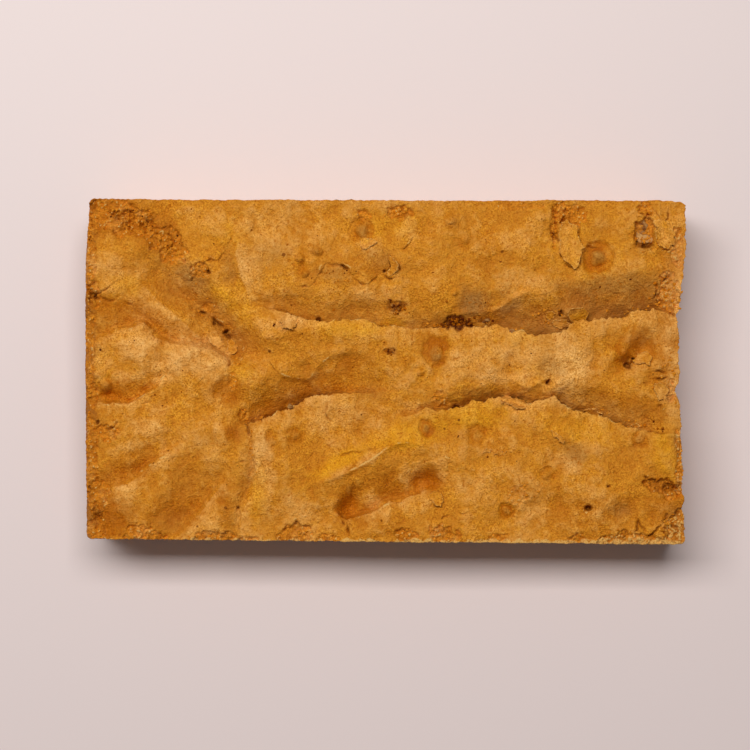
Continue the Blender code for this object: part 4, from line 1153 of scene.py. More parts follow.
def baked_crust_material(colours):
    """Baked crust: sugar and egg dried to a matt skin, golden where it is thin and toasted where
    it blistered. Its grain is the flour and sugar in it, under half a millimetre."""
    names = ("pale", "gold", "toasted", "stain", "crumb", "dark", "frayed", "tin")
    made, tree, masks, place, clouds = new_material("baked_crust", names, (
        (9, 3.0, 0.6), (6.3, 5.0, 0.65), (2.4, 4.0, 0.65), (1.1, 3.0, 0.7), (0.62, 1.0, 0.6),
        (0.38, 2.0, 0.8)))
    broad, hue, patchy, crinkle, specks, grain = clouds
    drift = add_node(tree, "MapRange", (broad, 0.35, 0.65, -0.4, 0.4))
    mottle = add_node(tree, "MapRange", (patchy, 0.3, 0.7, -0.42, 0.42))
    unrest = add_node(tree, "Math", (drift, mottle), operation="ADD")
    shift = add_node(tree, "MapRange", (hue, 0.35, 0.65, -1.0, 1.0))
    colour = colours.golden[:]
    # The pale mask also carries painted light, and the toasted and stain masks painted shade, from the
    # ripples and folds
    for name, wave, hold in (
        ("pale", unrest, 0.4), ("gold", shift, 0.12), ("toasted", unrest, -0.4),
        ("stain", shift, -0.12),
    ):
        wavering = add_node(tree, "Math", (wave, hold, masks[name]), operation="MULTIPLY_ADD")
        amount = add_node(tree, "Math", (wavering, 0.0), operation="MAXIMUM", use_clamp=True)
        colour = coated(tree, colour, (amount, getattr(colours, name)[:]))
    torn = add_node(tree, "Math", (grain, 0.5, masks["crumb"]), operation="MULTIPLY_ADD")
    bared = add_node(tree, "MapRange", (torn, 0.7, 0.8, 0.0, 0.7))
    browner = add_node(tree, "MapRange", (patchy, 0.46, 0.62, 0.0, 0.9))
    bare = coated(
        tree, colours.bared[:], (browner, colours.toasted[:]), (masks["pale"], colours.pale[:]))
    colour = coated(tree, colour, (masks["tin"], colours.tin[:]), (bared, bare))
    softness = add_node(tree, "MapRange", (hue, 0.36, 0.62, 0.36, 0.12))
    faint = add_node(tree, "Math", (0.5, softness), operation="SUBTRACT")
    strong = add_node(tree, "Math", (0.5, softness), operation="ADD")
    shade = add_node(tree, "MapRange", (grain, faint, strong))
    colour = toned(tree, colour, shade, (0.74, 0.61, 0.38, 1), (1.3, 1.41, 1.6, 1))
    wrinkled = add_node(tree, "MapRange", (crinkle, 0.3, 0.7))
    colour = toned(tree, colour, wrinkled, (0.94, 0.86, 0.7, 1), (1.07, 1.14, 1.28, 1))
    spot = add_node(tree, "MapRange", (specks, 0.58, 0.68))
    speckled = add_node(tree, "MapRange", (patchy, 0.42, 0.62, 0.2, 0.8))
    stipple = add_node(tree, "Math", (spot, speckled), operation="MULTIPLY")
    cells = {"Vector": place, "Scale": per_mm(3.2), "Randomness": 1.0}
    from_dot = add_node(tree, "TexVoronoi", cells, "Distance")
    chance = add_node(tree, "SeparateColor", (add_node(tree, "TexVoronoi", cells, "Color"),), 0)
    off = add_node(tree, "Math", (chance, 1.0, from_dot), operation="MULTIPLY_ADD")
    dot = add_node(tree, "MapRange", (off, 0.12, 0.16, 0.9, 0.0))
    # Torn edges, crests and lump tops are painted paler: partly dry crust and partly painted highlight
    ragged = add_node(tree, "Math", (grain, 0.9, masks["frayed"]), operation="MULTIPLY_ADD")
    dry = add_node(tree, "MapRange", (ragged, 0.85, 1.05, 0.0, 0.85))
    # Painted shade in creases, cracks, gaps and pits, and soot where chips are burnt: deep brown, then
    # charred where darkest
    sooty = add_node(tree, "MapRange", (grain, 0.3, 0.7, 0.35, 1.65))
    depth = add_node(tree, "Math", (masks["dark"], sooty), operation="MULTIPLY")
    brown = add_node(tree, "MapRange", (depth, 0.1, 0.55, 0.0, 0.85))
    burnt = add_node(tree, "MapRange", (depth, 0.55, 0.9, 0.0, 0.95))
    colour = coated(
        tree, colour, (stipple, colours.toasted[:]), (dot, colours.deep[:]),
        (dry, colours.torn[:]), (brown, colours.deep[:]), (burnt, colours.charred_and_shade[:]))
    finish_material(tree, {
        "Base Color": colour,
        "Roughness": add_node(tree, "MapRange", (patchy, 0.3, 0.7, 0.36, 0.54)),
        "Normal": relief(
            tree, (grain, 1.0, 0.32), (specks, 0.6, -0.24), (crinkle, 0.6, 0.4),
            (patchy, 0.5, 0.34)),
        "Specular IOR Level": 0.32,
        "Specular Tint": (1.0, 0.72, 0.3, 1),
    })
    return made


def cut_crumb_material(colours):
    """Cut crumb: butter, sugar and flour baked dense and moist, so it has a low sheen and looks
    deeper than its surface. It browns towards the base, the crust and the tin."""
    made, tree, masks, place, clouds = new_material(
        "cut_crumb", ("tin", "pore", "browned"), ((6, 3.0, 0.6), (1.6, 4.0, 0.65), (0.5, 3.0, 0.7)))
    broad, patchy, grain = clouds
    drift = add_node(tree, "MapRange", (broad, 0.35, 0.65, 0.0, 0.6))
    fleck = add_node(tree, "MapRange", (patchy, 0.3, 0.7))
    # Painted shade in the bubbles: toasted by how deep a point lies in one, and deep brown in small
    # round pits
    hollow = add_node(tree, "Math", (masks["pore"], 0.5), operation="MULTIPLY")
    cells = {"Vector": place, "Scale": per_mm(0.85), "Randomness": 1.0}
    from_bubble = add_node(tree, "TexVoronoi", cells, "Distance")
    where = add_node(tree, "MapRange", (patchy, 0.4, 0.6, 0.1, 0.34))
    bubble = add_node(tree, "MapRange", (from_bubble, 0.0, where, 0.75, 0.0))
    colour = coated(tree, colours.crumb[:], (drift, colours.golden[:]))
    colour = toned(tree, colour, fleck, (0.74, 0.66, 0.48, 1), (1.2, 1.25, 1.38, 1))
    tin = coated(tree, colours.skin[:], (fleck, colours.tin[:]), (drift, colours.toasted[:]))
    colour = coated(
        tree, colour, (masks["tin"], tin), (masks["browned"], colours.toasted[:]),
        (hollow, colours.toasted[:]), (bubble, colours.deep[:]))
    shade = add_node(tree, "MapRange", (grain, 0.3, 0.7, 0.76, 1.22))
    finish_material(tree, {
        "Base Color": coated(tree, colour, (1.0, shade), blend="MULTIPLY"),
        "Roughness": add_node(tree, "MapRange", (patchy, 0.3, 0.7, 0.45, 0.65)),
        "Normal": relief(tree, (grain, 0.7, 0.2), (patchy, 0.6, 0.4), (bubble, 0.8, -0.2)),
        "IOR": 1.45,
        "Specular IOR Level": 0.3,
        "Specular Tint": (1.0, 0.75, 0.4, 1),
        "Subsurface Weight": 0.15,
        "Subsurface Radius": (1.0, 0.6, 0.25),
        "Subsurface Scale": 1.2 * MM,
    })
    return made


def grains_material(name, light, dark, roughness):
    """Loose grains, each of its own tone between two: dry crumb, or sugar that has caramelised."""
    made, tree, masks, _, (grain,) = new_material(name, ("tone",), ((0.4, 2.0, 0.5),))
    colour = coated(tree, light[:], (masks["tone"], dark[:]))
    shade = add_node(tree, "MapRange", (grain, 0.3, 0.7, 0.7, 1.25))
    finish_material(tree, {
        "Base Color": coated(tree, colour, (1.0, shade), blend="MULTIPLY"),
        "Roughness": roughness,
        "Normal": relief(tree, (grain, 0.6, 0.1)),
        "Specular IOR Level": 0.15,
        "Specular Tint": (1.0, 0.7, 0.3, 1),
    })
    return made


def walnut_material(colours):
    """Walnut: oily, ivory to tan kernel where the knife cut it, under a thin, bitter brown skin that
    the oven has darkened."""
    made, tree, masks, _, (cloudy, grain) = new_material(
        "toasted_walnut", ("sliced",), ((1.8, 4.0, 0.6), (0.35, 2.0, 0.7)))
    blotch = add_node(tree, "MapRange", (cloudy, 0.35, 0.65, 0.0, 0.4))
    skin = coated(tree, colours.skin[:], (blotch, colours.kernel[:]))
    kernel = coated(tree, colours.kernel[:], (blotch, colours.pale[:]))
    colour = coated(tree, skin, (masks["sliced"], kernel))
    shade = add_node(tree, "MapRange", (grain, 0.3, 0.7, 0.78, 1.2))
    finish_material(tree, {
        "Base Color": coated(tree, colour, (1.0, shade), blend="MULTIPLY"),
        "Roughness": 0.6,
        "Normal": relief(tree, (grain, 0.5, 0.1)),
        "Specular IOR Level": 0.15,
        "Specular Tint": (1.0, 0.8, 0.5, 1),
    })
    return made


def glazed_floor_material(colour):
    """A pale glazed surface: smooth, so the bar's shadow is soft and clean on it."""
    made, tree, *_ = new_material("pale_glaze")
    finish_material(tree, {"Base Color": colour, "Roughness": 0.5})
    return made


# Painting the crust

# Where the crust is paler, yellower, darker or greyer than its relief alone makes it: ovals,
# each with its middle, how far it reaches along and across, its strength and its turn
Patch = namedtuple("Patch", "x y long wide strength turn", defaults=(0,))
PATCHES = {
    "pale": (
        (-43.6, 3.2, 7.5, 3.2, 1.0, 25), (-55, 5.5, 4.5, 2.8, 0.8, 20), (40.6, 0.9, 6, 6, 0.9),
        (29, 3, 7, 3, 0.5), (17, 2, 6, 4, 0.3), (41, 30, 2.4, 4.5, 0.4), (-21, 10.5, 3.5, 1.8, 0.6),
        (-53, -12.4, 4, 2, 0.6), (39.5, -20, 4, 3, 0.6), (-8, -10, 12, 5, 0.35),
        (-19, -31, 10, 4, 0.35), (32, -31.5, 4, 3, 0.3), (-23, 32, 11, 5, 0.3), (25, 30, 8, 4, 0.2),
        (-47, 0, 5, 2, 0.6, 35), (-37, 2.4, 3.4, 2.4, 0.7), (-41, 1.4, 4.5, 3, 0.9),
        (-26.8, -21, 2.8, 8, 1.0), (-55, -8, 5, 1.6, 0.4, 25), (-5, -19.8, 8, 1.3, 0.6, 30),
        (27, 13.6, 4, 1.2, 0.4, 10), (-57, -1.4, 5, 1.4, 0.5, 15), (-59.5, 21.6, 6, 3.6, 0.4, -35),
        (64, 12, 3.4, 22, 0.7), (-4.5, 17.5, 6, 1.8, 0.3), (6, 31, 5, 2.4, 0.35),
        (-50, -8.5, 3, 1.6, 0.5, 40), (-55.5, -17, 5, 1.8, 0.4, 20), (41.6, 13.2, 2.4, 1.4, 0.7),
        (-36.6, -12.6, 1.6, 1.8, 0.4), (30, 20, 6, 3, 0.25), (25, -1.4, 7, 1.8, 0.6),
        (12, -24, 9, 2.4, 0.3, -10), (48, 31, 5, 3, 0.25),
    ),
    "gold": (
        (-7, 8.7, 8, 2, 0.62), (6, -13.6, 10, 3, 0.75, 15), (19, -10.5, 9, 3, 0.6),
        (-10, -20, 8.5, 1.8, 0.75, 30), (61.5, -17.5, 3, 7, 0.6), (-28, -26.5, 2, 7, 0.5),
        (31, 8, 5, 3, 0.4), (2, 10.5, 3, 1.4, 0.8), (42.5, 12, 3, 1.4, 0.8),
        (-32, 13.6, 2.6, 6, 0.45, 15), (44, -13, 10, 3, 0.38, -8), (0, 32, 8, 3, 0.3),
        (-57, 19, 4, 2.4, 0.4), (-31, 0.5, 2.4, 2, 0.5), (-36, 16, 2.2, 5, 0.5, 35),
        (45, 27, 9, 6, 0.25), (-35, 30, 6, 3, 0.3),
    ),
    "toasted": (
        (-60, 34, 9, 4.5, 1.0), (-50.7, 30.1, 6.5, 4, 0.75, -35), (-65, 0, 1.8, 38, 0.6),
        (-50.3, 4.4, 2.2, 3.4, 0.4, -35), (-60.5, 13, 6, 3, 0.6, -20), (-53, 12.5, 6, 3, 0.6, -20),
        (-38.5, 12.5, 8, 2.4, 0.4, -45), (-60, -4.8, 5.5, 2.8, 0.7, 10),
        (-57.5, -22, 6, 2.8, 0.6, 25), (-61.5, -32.5, 7, 6, 1.0), (-48, -31, 10, 4.5, 0.5, 40),
        (-35.5, -30, 2.4, 6, 0.45), (-35.5, -4.5, 4.5, 4, 0.8, -30), (-15, -2.6, 13, 3.4, 0.5, 24),
        (-8, 23, 10, 3, 0.35, 5), (42.4, 16.4, 5, 2.4, 0.85), (20.8, 13.4, 4, 2.2, 0.5, -10),
        (54.4, 4.6, 5.5, 3, 1.0, 50), (54, -8, 8, 3, 0.5, -15), (-17.5, 11.3, 2, 1.2, 0.4),
        (-8.2, -29, 2.6, 4.2, 1.0, -20), (1, -25.4, 7, 3.6, 0.5, 15), (9, -24.4, 4, 3, 1.0),
        (45, -31.5, 12, 5, 0.5), (61, -30, 4, 5, 0.6), (-24, 15.5, 5, 2, 0.35),
        (60.5, 5, 3.6, 9, 0.55), (-32.3, 4.2, 1.8, 2.4, 0.5), (62, 21, 2.6, 5, 0.25),
        (-33.8, -13.8, 2, 2.6, 0.7), (52.5, 3.2, 2, 1.9, 1.0), (-52, 20, 6, 3, 0.35, -40),
        (24, -16, 7, 3, 0.3), (33, -26, 7, 3, 0.35), (-62, 8, 3, 3, 0.35),
        (-44, -21, 6, 2.4, 0.3, 40), (0, -34, 6, 2.6, 0.3), (22, 25, 4, 6, 0.25),
    ),
    "stain": (
        (-2.3, 25, 4, 2.4, 0.35), (19.8, 14.4, 3.8, 3.4, 0.9, -20), (38.4, 19, 3, 1.6, 0.4),
        (51, 18.5, 11, 3, 0.6, 5), (36.2, 0.4, 3, 2.4, 0.5), (51.6, -30.8, 2.6, 1.6, 0.4),
        (41.7, -18.3, 3, 2.4, 0.5), (-8, 13.5, 12, 2, 0.1), (-3.4, -5, 5, 2, 0.3),
        # (-42, 19.6) is painted shade in the left diagonal valley
        (57, 29.7, 1.6, 3.2, 0.9), (30, 14, 8, 2, 0.3), (-42, 19.6, 6, 2.4, 0.6, -45),
        (-27, 26, 6, 3, 0.25), (-12, 21, 5, 2, 0.3), (-38, 14.5, 4, 2, 0.4, -40),
        (20, -5, 7, 1.4, 0.3), (-40, -16, 4, 2, 0.2, 30), (64, -14, 1.6, 5, 0.3),
        # (55, -37.8) is painted shade along the front right edge
        (64.6, -34.6, 2.6, 4, 1.0), (55, -37.8, 7, 1, 0.9),
    ),
}  # fmt: skip
RIPPLE_LIGHT_AND_SHADE = {"pale": 0.35, "toasted": -0.35}  # what the crest of a ripple adds: painted light on crests, and painted shade in troughs
TIN_BROWNING = 1.7  # how far in from the left end the crust is browned by the tin


def patch_share(patches, x, y):
    """How strongly any of the patches colours each point."""
    made = np.zeros(x.shape)
    for row in patches:
        patch = Patch(*row)
        mark(made, patch.strength * np.exp(-(in_oval(patch, x, y) ** 1.5)))
    return made


def paint_crust(piece, surface):
    """Stores what each point of the crust is made of and how it baked."""
    x, y = surface.x, surface.y
    for name, patches in PATCHES.items():
        patched = patch_share(patches, surface.stray_x, surface.stray_y)
        share = np.maximum(getattr(surface, name), patched)
        # the ripples' painted light and shade go onto the pale and toasted masks here
        set_attribute(piece, name, share + RIPPLE_LIGHT_AND_SHADE.get(name, 0) * surface.high)
    set_attribute(piece, "crumb", surface.crumb)
    set_attribute(piece, "dark", clamp(surface.dark))
    set_attribute(piece, "frayed", surface.frayed)
    from_tin = (x + LENGTH / 2) / TIN_BROWNING + 0.5 * ripple(x, y, 1.4, SEED + 9)
    set_attribute(piece, "tin", clamp(1.6 - from_tin))


# The operators, one for each group of pieces


CRUST_SEAMS = (0.35, 0.65)  # the shares of the bar's length where the crust's mesh is split
ON_SEAM = 0.0001  # a vertex this near to a seam, as such a share, is on it
# Rings down the crust's cut edge: (how far down as a share of its thickness, how far out)
SKIRT = ((0.25, 0.05), (0.35, 0.03), (0.4, -0.2), (0.2, -0.5))
SKIRT_RAGGEDNESS = 0.5
TUCKED, TUCKED_TO = (0.93, 0.88), 14.0  # the last ring is this much smaller, at this height


class BLONDIE_OT_crust(bpy.types.Operator):
    """Add the baked crust: a lid with the bar's folds, blisters, cracks and chips"""

    bl_idname = "blondie.crust"
    bl_label = "Baked crust"

    def execute(self, context):
        sizes = context.scene.blondie_sizes
        thickness = sizes.crust_thickness / MM
        cell = sizes.crust_cell / MM
        lid = add_grid("crust", round(LENGTH / cell), round(WIDTH / cell))
        flat = places_of(lid)
        x, y, _ = in_plan(flat[:, 0] * LENGTH, flat[:, 1] * WIDTH, sizes.corner_radius / MM)
        surface = Surface(x, y)
        paint_crust(lid, surface)
        set_attribute(lid, "share", flat[:, 0] + 0.5)
        inside = clamp((0.5 - np.abs(flat[:, :2]).max(axis=1)) * WIDTH / 2)
        x, y = x + inside * surface.shift[0], y + inside * surface.shift[1]
        move_to(lid, np.column_stack([x, y, HEIGHT + surface.up]))
        set_attribute(lid, "lie", normals_of(lid), "FLOAT_VECTOR", "vector")

        def skirt(drop, out):
            """A ring lower down the crust's cut edge."""

            def move(rim):
                _, _, outward = rounded(rim[:, 0] * 1.02, rim[:, 1] * 1.03, 3.0)
                ripples = ripple(rim[:, 0] + rim[:, 1], rim[:, 2], 2.4, SEED + 3)
                moved = rim.copy()
                moved[:, :2] += outward.T * out
                moved[:, 2] -= drop * thickness * (1 + SKIRT_RAGGEDNESS * ripples)
                return moved

            return move

        def tuck(rim):
            """The last ring, hidden in the crumb."""
            return np.column_stack([rim[:, :2] * TUCKED, np.full(len(rim), TUCKED_TO)])

        rings = [*(skirt(drop, out) for drop, out in SKIRT), tuck]
        material = baked_crust_material(context.scene.blondie_colours)
        lengths = [split_off(lid, share) for share in CRUST_SEAMS]
        for name, piece in zip(("crust_left", "crust_middle", "crust_right"), (*lengths, lid)):
            piece.name = piece.data.name = name
            top = len(piece.data.vertices)
            activate(piece)
            extrude_rims(piece, rings, lambda place: True)
            move_to(piece, in_frame(places_of(piece)))
            finish_piece(piece, material)
            self.match_seams(piece, top)
        return {"FINISHED"}

    def match_seams(self, piece, top):
        """Gives the first vertices, those on top, the normals that they had before the crust was
        split, where they lie on a seam, so that the seam doesn't show."""
        share = rows_of(piece.data.attributes["share"].data, "value", 1)
        before = rows_of(piece.data.attributes["lie"].data, "vector")
        on_seam = np.abs(share - CRUST_SEAMS).min(axis=1) < ON_SEAM
        on_seam[top:] = False
        normals = np.where(on_seam[:, None], before, normals_of(piece))
        piece.data.normals_split_custom_set_from_vertices(normals.tolist())
        drop_attributes(piece, "share", "lie")


PORES = ((3.1, 0.42, 0.8), (1.4, 0.42, 0.4))  # bubbles: (spacing, largest radius as its share, depth)
SMALLEST_PORE = 0.12
RIM_TUCK, RIM_CLOSED = (0.96, 0.94), (17.0, 14.5)  # how the crumb closes inside, under the crust


def pore_depth(places, spacing, share, depth):
    """How deep the crumb's bubbles cut in at each place, for bubbles of one size."""
    made = []
    for place in (places / spacing).tolist():
        distances, centres = noise.voronoi(place)
        size = share * noise.cell(centres[0] * 7.3)
        made.append(max(0.0, 1 - (distances[0] / size) ** 2) if size > SMALLEST_PORE else 0.0)
    return depth * np.sqrt(made)


class BLONDIE_OT_crumb(bpy.types.Operator):
    """Add the crumb: three cut sides, the browned end and the base"""

    bl_idname = "blondie.crumb"
    bl_label = "Cut crumb"

    def execute(self, context):
        sizes = context.scene.blondie_sizes
        cell = sizes.side_cell / MM
        thickness = sizes.crust_thickness / MM
        round_trip = 2 * (LENGTH + WIDTH)
        piece = add_grid("crumb", round(round_trip / cell), round(HEIGHT / cell))
        flat = places_of(piece)
        run = (flat[:, 0] + 0.5) * round_trip
        level = flat[:, 1] + 0.5
        stops = np.cumsum([0, LENGTH, WIDTH, LENGTH, WIDTH])
        across = np.interp(run, stops, np.array([-1, 1, 1, -1, -1]) * LENGTH / 2)
        along = np.interp(run, stops, np.array([-1, -1, 1, 1, -1]) * WIDTH / 2)
        x, y, outward = in_plan(across, along, sizes.corner_radius / MM)
        rim = HEIGHT + Surface(x, y).up
        z = level * (rim - 0.8 * thickness)
        on_tin, on_right = clamp(-outward[0]), clamp(outward[0])
        solid = np.column_stack([x, y, z])
        lumps = np.zeros(len(x))
        for size, height in SIDE_LUMPS:
            lumps += [2 * height * noise.noise(place) for place in (solid / size).tolist()]
        pores = sum(pore_depth(solid, *bubble) for bubble in PORES) * (1 - 0.5 * on_tin)
        foot = clamp(1 - z / 0.8) ** 2
        out = lumps * (1 - 0.4 * on_tin) - pores - FOOT_INSET * foot - 0.3
        out -= TIN_TAPER * on_tin * (1 - level)
        x, y = x + outward[0] * out, y + outward[1] * out
        bite = np.interp(along / WIDTH + 0.5, *zip(*RIGHT_EDGE)) + RIGHT_INSET
        x -= on_right * bite * BITE_FADE * (1 - level)
        move_to(piece, np.column_stack([x, y, z]))
        edit_all(bpy.ops.mesh.remove_doubles, threshold=0.02)

        def inward(height):
            """A ring inside the last one, at that height."""
            return lambda rim: np.column_stack([rim[:, :2] * RIM_TUCK, np.full(len(rim), height)])

        closed = [inward(height) for height in RIM_CLOSED]
        extrude_rims(piece, closed, lambda place: place.z > HEIGHT / 2)
        extrude_rims(piece, [inward(0.0)], lambda place: place.z < HEIGHT / 2)
        move_to(piece, in_frame(places_of(piece)))
        edit_all(bpy.ops.mesh.normals_make_consistent, inside=False)
        self.paint(piece)
        finish_piece(piece, cut_crumb_material(context.scene.blondie_colours))
        return {"FINISHED"}

    def paint(self, piece):
        """Stores how browned each point is and how deep in a bubble it lies."""
        places = places_of(piece) / MM + (*PLAN_MIDDLE, 0)
        x, y, z = places.T
        pores = sum(pore_depth(places, *bubble) for bubble in PORES)
        set_attribute(piece, "pore", clamp(pores))
        wavy = ripple(x + y, z, 4.0, SEED + 4)
        below, above = clamp(1.6 - z / 0.9 + wavy), clamp((z - 20.2) / 1.6 + wavy)
        set_attribute(piece, "browned", np.maximum(below, 0.5 * above))
        set_attribute(piece, "tin", clamp(1.5 - (x + LENGTH / 2) / 1.6))


FLAKE_CELLS = 26
FLAKE_THICKNESS = 0.22
FLAKE_DRYNESS = 0.2
RESTS_ON = 80  # a flake rests on what is higher under it than this percentage of the rest


def surface_under(x, y):
    """The crust's height above the base at points of the plan."""
    return HEIGHT + Surface(np.asarray(x, float), np.asarray(y, float)).up


class BLONDIE_OT_flakes(bpy.types.Operator):
    """Add the thin sheets of crust that have come loose and lie over the folds and chips"""

    bl_idname = "blondie.flakes"
    bl_label = "Crust flakes"

    def execute(self, context):
        made = [self.add_flake(flake) for flake in FLAKES.values()]
        piece = join(made, "crust_flakes")
        places = places_of(piece)
        x, y = (places[:, axis] / MM + PLAN_MIDDLE[axis] for axis in (0, 1))
        surface = Surface(x, y)
        mark(surface.pale, FLAKE_DRYNESS)
        paint_crust(piece, surface)
        rim = rows_of(piece.data.attributes["rim"].data, "value", 1)[:, 0]
        piece.data.attributes["frayed"].data.foreach_set("value", 0.15 + 0.35 * rim**12)
        drop_attributes(piece, "dark", "crumb", "toasted", "stain", "rim")
        finish_piece(piece, bpy.data.materials["baked_crust"])
        activate(piece)
        bpy.ops.object.shade_smooth_by_angle(angle=math.radians(50))
        return {"FINISHED"}

    def add_flake(self, flake):
        """One flake, as a grid stretched over its outline and given a thickness."""
        piece = add_grid("flake", FLAKE_CELLS, FLAKE_CELLS)
        across, along, _ = (places_of(piece) * 2).T
        ring = np.maximum(np.abs(across), np.abs(along))
        set_attribute(piece, "rim", ring)
        share = (np.arctan2(along, across) / (2 * np.pi)) % 1
        rim = np.array((*flake.outline, flake.outline[0]))
        walked = np.concatenate([[0], np.cumsum(np.hypot(*np.diff(rim, axis=0).T))])
        on_rim = [np.interp(share, walked / walked[-1], rim[:, axis]) for axis in (0, 1)]
        middle = rim[:-1].mean(axis=0)
        x, y = (middle[axis] + ring * (on_rim[axis] - middle[axis]) for axis in (0, 1))
        for size, far in FLAKE_RAGGEDNESS:
            x = x + far * ring**4 * ripple(x, y, size, SEED + 1)
            y = y + far * ring**4 * ripple(x, y, size, SEED + 2)
        spans = np.column_stack([x - middle[0], y - middle[1], np.ones(len(x))])
        under = surface_under(x, y)
        plane, *_ = np.linalg.lstsq(spans, under, rcond=None)
        turn = math.radians(flake.turn)
        up = flake.tilt * (spans[:, 0] * math.cos(turn) + spans[:, 1] * math.sin(turn))
        up = up + np.percentile(under - spans @ plane, RESTS_ON) + 0.4 * flake.lift
        up = up + flake.curl * ring**3 + 0.2 * ripple(x, y, 1.4, SEED)
        move_to(piece, in_frame(np.column_stack([x, y, spans @ plane + up])))
        apply_modifier(piece, "SOLIDIFY", thickness=FLAKE_THICKNESS * MM, offset=-1)
        return piece


BIT_FLATNESS = 0.6
BIT_INSET = (0.6, 0.5)  # how far in from the plain rectangle's sides the outermost bits lie


def add_bits(name, spills, seed):
    """Small lumps scattered over the spills, sunk a little into the crust and joined into one."""
    chance = np.random.default_rng(seed)
    spots = []
    for spill in (Spill(*row) for row in spills):
        turn = math.radians(spill.turn)
        for along, across in chance.normal(0, 0.5, (spill.count, 2)):
            along, across = along * spill.long, across * spill.wide
            x = spill.x + along * math.cos(turn) - across * math.sin(turn)
            y = spill.y + along * math.sin(turn) + across * math.cos(turn)
            spots.append((x, y, spill.size * chance.uniform(0.5, 1.4)))
    x, y, size = np.array(spots).T
    kept = (np.abs(x) < LENGTH / 2 - BIT_INSET[0]) & (np.abs(y) < WIDTH / 2 - BIT_INSET[1])
    x, y, size = x[kept], y[kept], size[kept]
    height = surface_under(x, y)
    deselect_all()
    bpy.ops.mesh.primitive_ico_sphere_add(subdivisions=2, radius=0.5)
    template = bpy.context.object
    ball = places_of(template)
    made, tones = [], []
    for place, wide in zip(zip(x, y, height), size):
        lump = template.copy()
        lump.data = template.data.copy()
        bpy.context.collection.objects.link(lump)
        stretch = chance.uniform(0.6, 1.3, 3) * (1, 1, BIT_FLATNESS)
        spin = chance.uniform(0, 2 * math.pi)
        lumps = [noise.noise(Vector(point) * 3.1 + Vector(place)) for point in ball]
        shape = ball * (1 + 0.7 * np.array(lumps))[:, None] * stretch * wide
        spun = shape.copy()
        spun[:, 0] = shape[:, 0] * math.cos(spin) - shape[:, 1] * math.sin(spin)
        spun[:, 1] = shape[:, 0] * math.sin(spin) + shape[:, 1] * math.cos(spin)
        move_to(lump, in_frame(spun + place + (0, 0, 0.12 * wide * BIT_FLATNESS)))
        made.append(lump)
        tones.append(chance.uniform() ** 1.5)
    bpy.data.objects.remove(template)
    piece = join(made, name)
    set_attribute(piece, "tone", np.repeat(tones, len(ball)))
    return piece


class BLONDIE_OT_crumbs(bpy.types.Operator):
    """Add the loose crumbs that cling to the crust"""

    bl_idname = "blondie.crumbs"
    bl_label = "Loose crumbs"

    def execute(self, context):
        colours = context.scene.blondie_colours
        piece = add_bits("loose_crumbs", CRUMB_SPILLS, 11)
        made = grains_material("crumb_grains", colours.golden, colours.toasted, 0.6)
        finish_piece(piece, made, False)
        return {"FINISHED"}


class BLONDIE_OT_burnt(bpy.types.Operator):
    """Add the dark bits: caramelised clusters in the folds and specks all over"""

    bl_idname = "blondie.burnt"
    bl_label = "Caramelised bits"

    def execute(self, context):
        colours = context.scene.blondie_colours
        lone = [(x, y, SPECK_SPREAD, SPECK_SPREAD, 1, SPECK_SIZE) for x, y in SPECKS]
        piece = add_bits("caramelised_bits", (*DARK_SPILLS, *lone), 23)
        made = grains_material("caramelised_sugar", colours.charred_and_shade, colours.toasted, 0.7)
        finish_piece(piece, made, False)
        return {"FINISHED"}


class BLONDIE_OT_walnuts(bpy.types.Operator):
    """Add the walnuts: one sunk in the crust's hole, and those that the knife cut through"""

    bl_idname = "blondie.walnuts"
    bl_label = "Walnuts"

    def execute(self, context):
        piece = join([self.add_nut(nut) for nut in NUTS.values()], "walnut_pieces")
        finish_piece(piece, walnut_material(context.scene.blondie_colours))
        return {"FINISHED"}

    def add_nut(self, nut):
        """One nut: a furrowed lump, sliced flat where it meets a cut side."""
        deselect_all()
        bpy.ops.mesh.primitive_ico_sphere_add(subdivisions=5 if nut.long > 3 else 4, radius=0.5)
        piece = bpy.context.object
        ball = places_of(piece)
        seed = Vector((nut.x, nut.y, nut.z))
        furrows = np.array([noise.noise(Vector(point) * 3.4 + seed) for point in ball])
        lobes = np.array([noise.noise(Vector(point) * 1.6 - seed) for point in ball])
        rough = 1 + lobes - FURROW_DEPTH * clamp(1 - np.abs(furrows) / FURROW_WIDE) ** 2
        shape = ball * rough[:, None] * (nut.long, nut.wide, nut.tall)
        shape[:, 0], shape[:, 1] = turned(shape[:, 0], shape[:, 1], nut.turn)
        places = shape + (nut.x, nut.y, nut.z)
        axis, side = SIDES.get(nut.side, (0, 0))
        sliced = 0.3 * clamp(lobes * 5)  # the skin has come off the lobes
        if axis == 2:
            plane = nut.z + 0.3 * nut.tall
        elif side:
            across = np.array([side * LENGTH / 2 if axis == 0 else nut.x])
            along = np.array([side * WIDTH / 2 if axis == 1 else nut.y])
            plane = side * in_plan(across, along, CORNER_RADIUS)[axis][0] - NUT_INSET
            if axis == 0:
                bite = np.interp(nut.y / WIDTH + 0.5, *zip(*RIGHT_EDGE)) + RIGHT_INSET
                plane -= bite * BITE_FADE * (1 - nut.z / HEIGHT)
        if side:
            past = side * places[:, axis] - plane
            in_cut = np.delete(ball, axis, 1)
            rim = np.hypot(*in_cut.T) / (0.4 if axis == 2 else 0.5)  # 1 where the skin begins
            clean = clamp((0.92 - rim) / 0.1) * (0.5 if axis == 2 else 1)
            sliced = np.maximum(sliced, clean * (past > 0))
            places[:, axis] = side * np.minimum(side * places[:, axis], plane + 0.02 * past)
        move_to(piece, in_frame(places))
        set_attribute(piece, "sliced", sliced)
        return piece


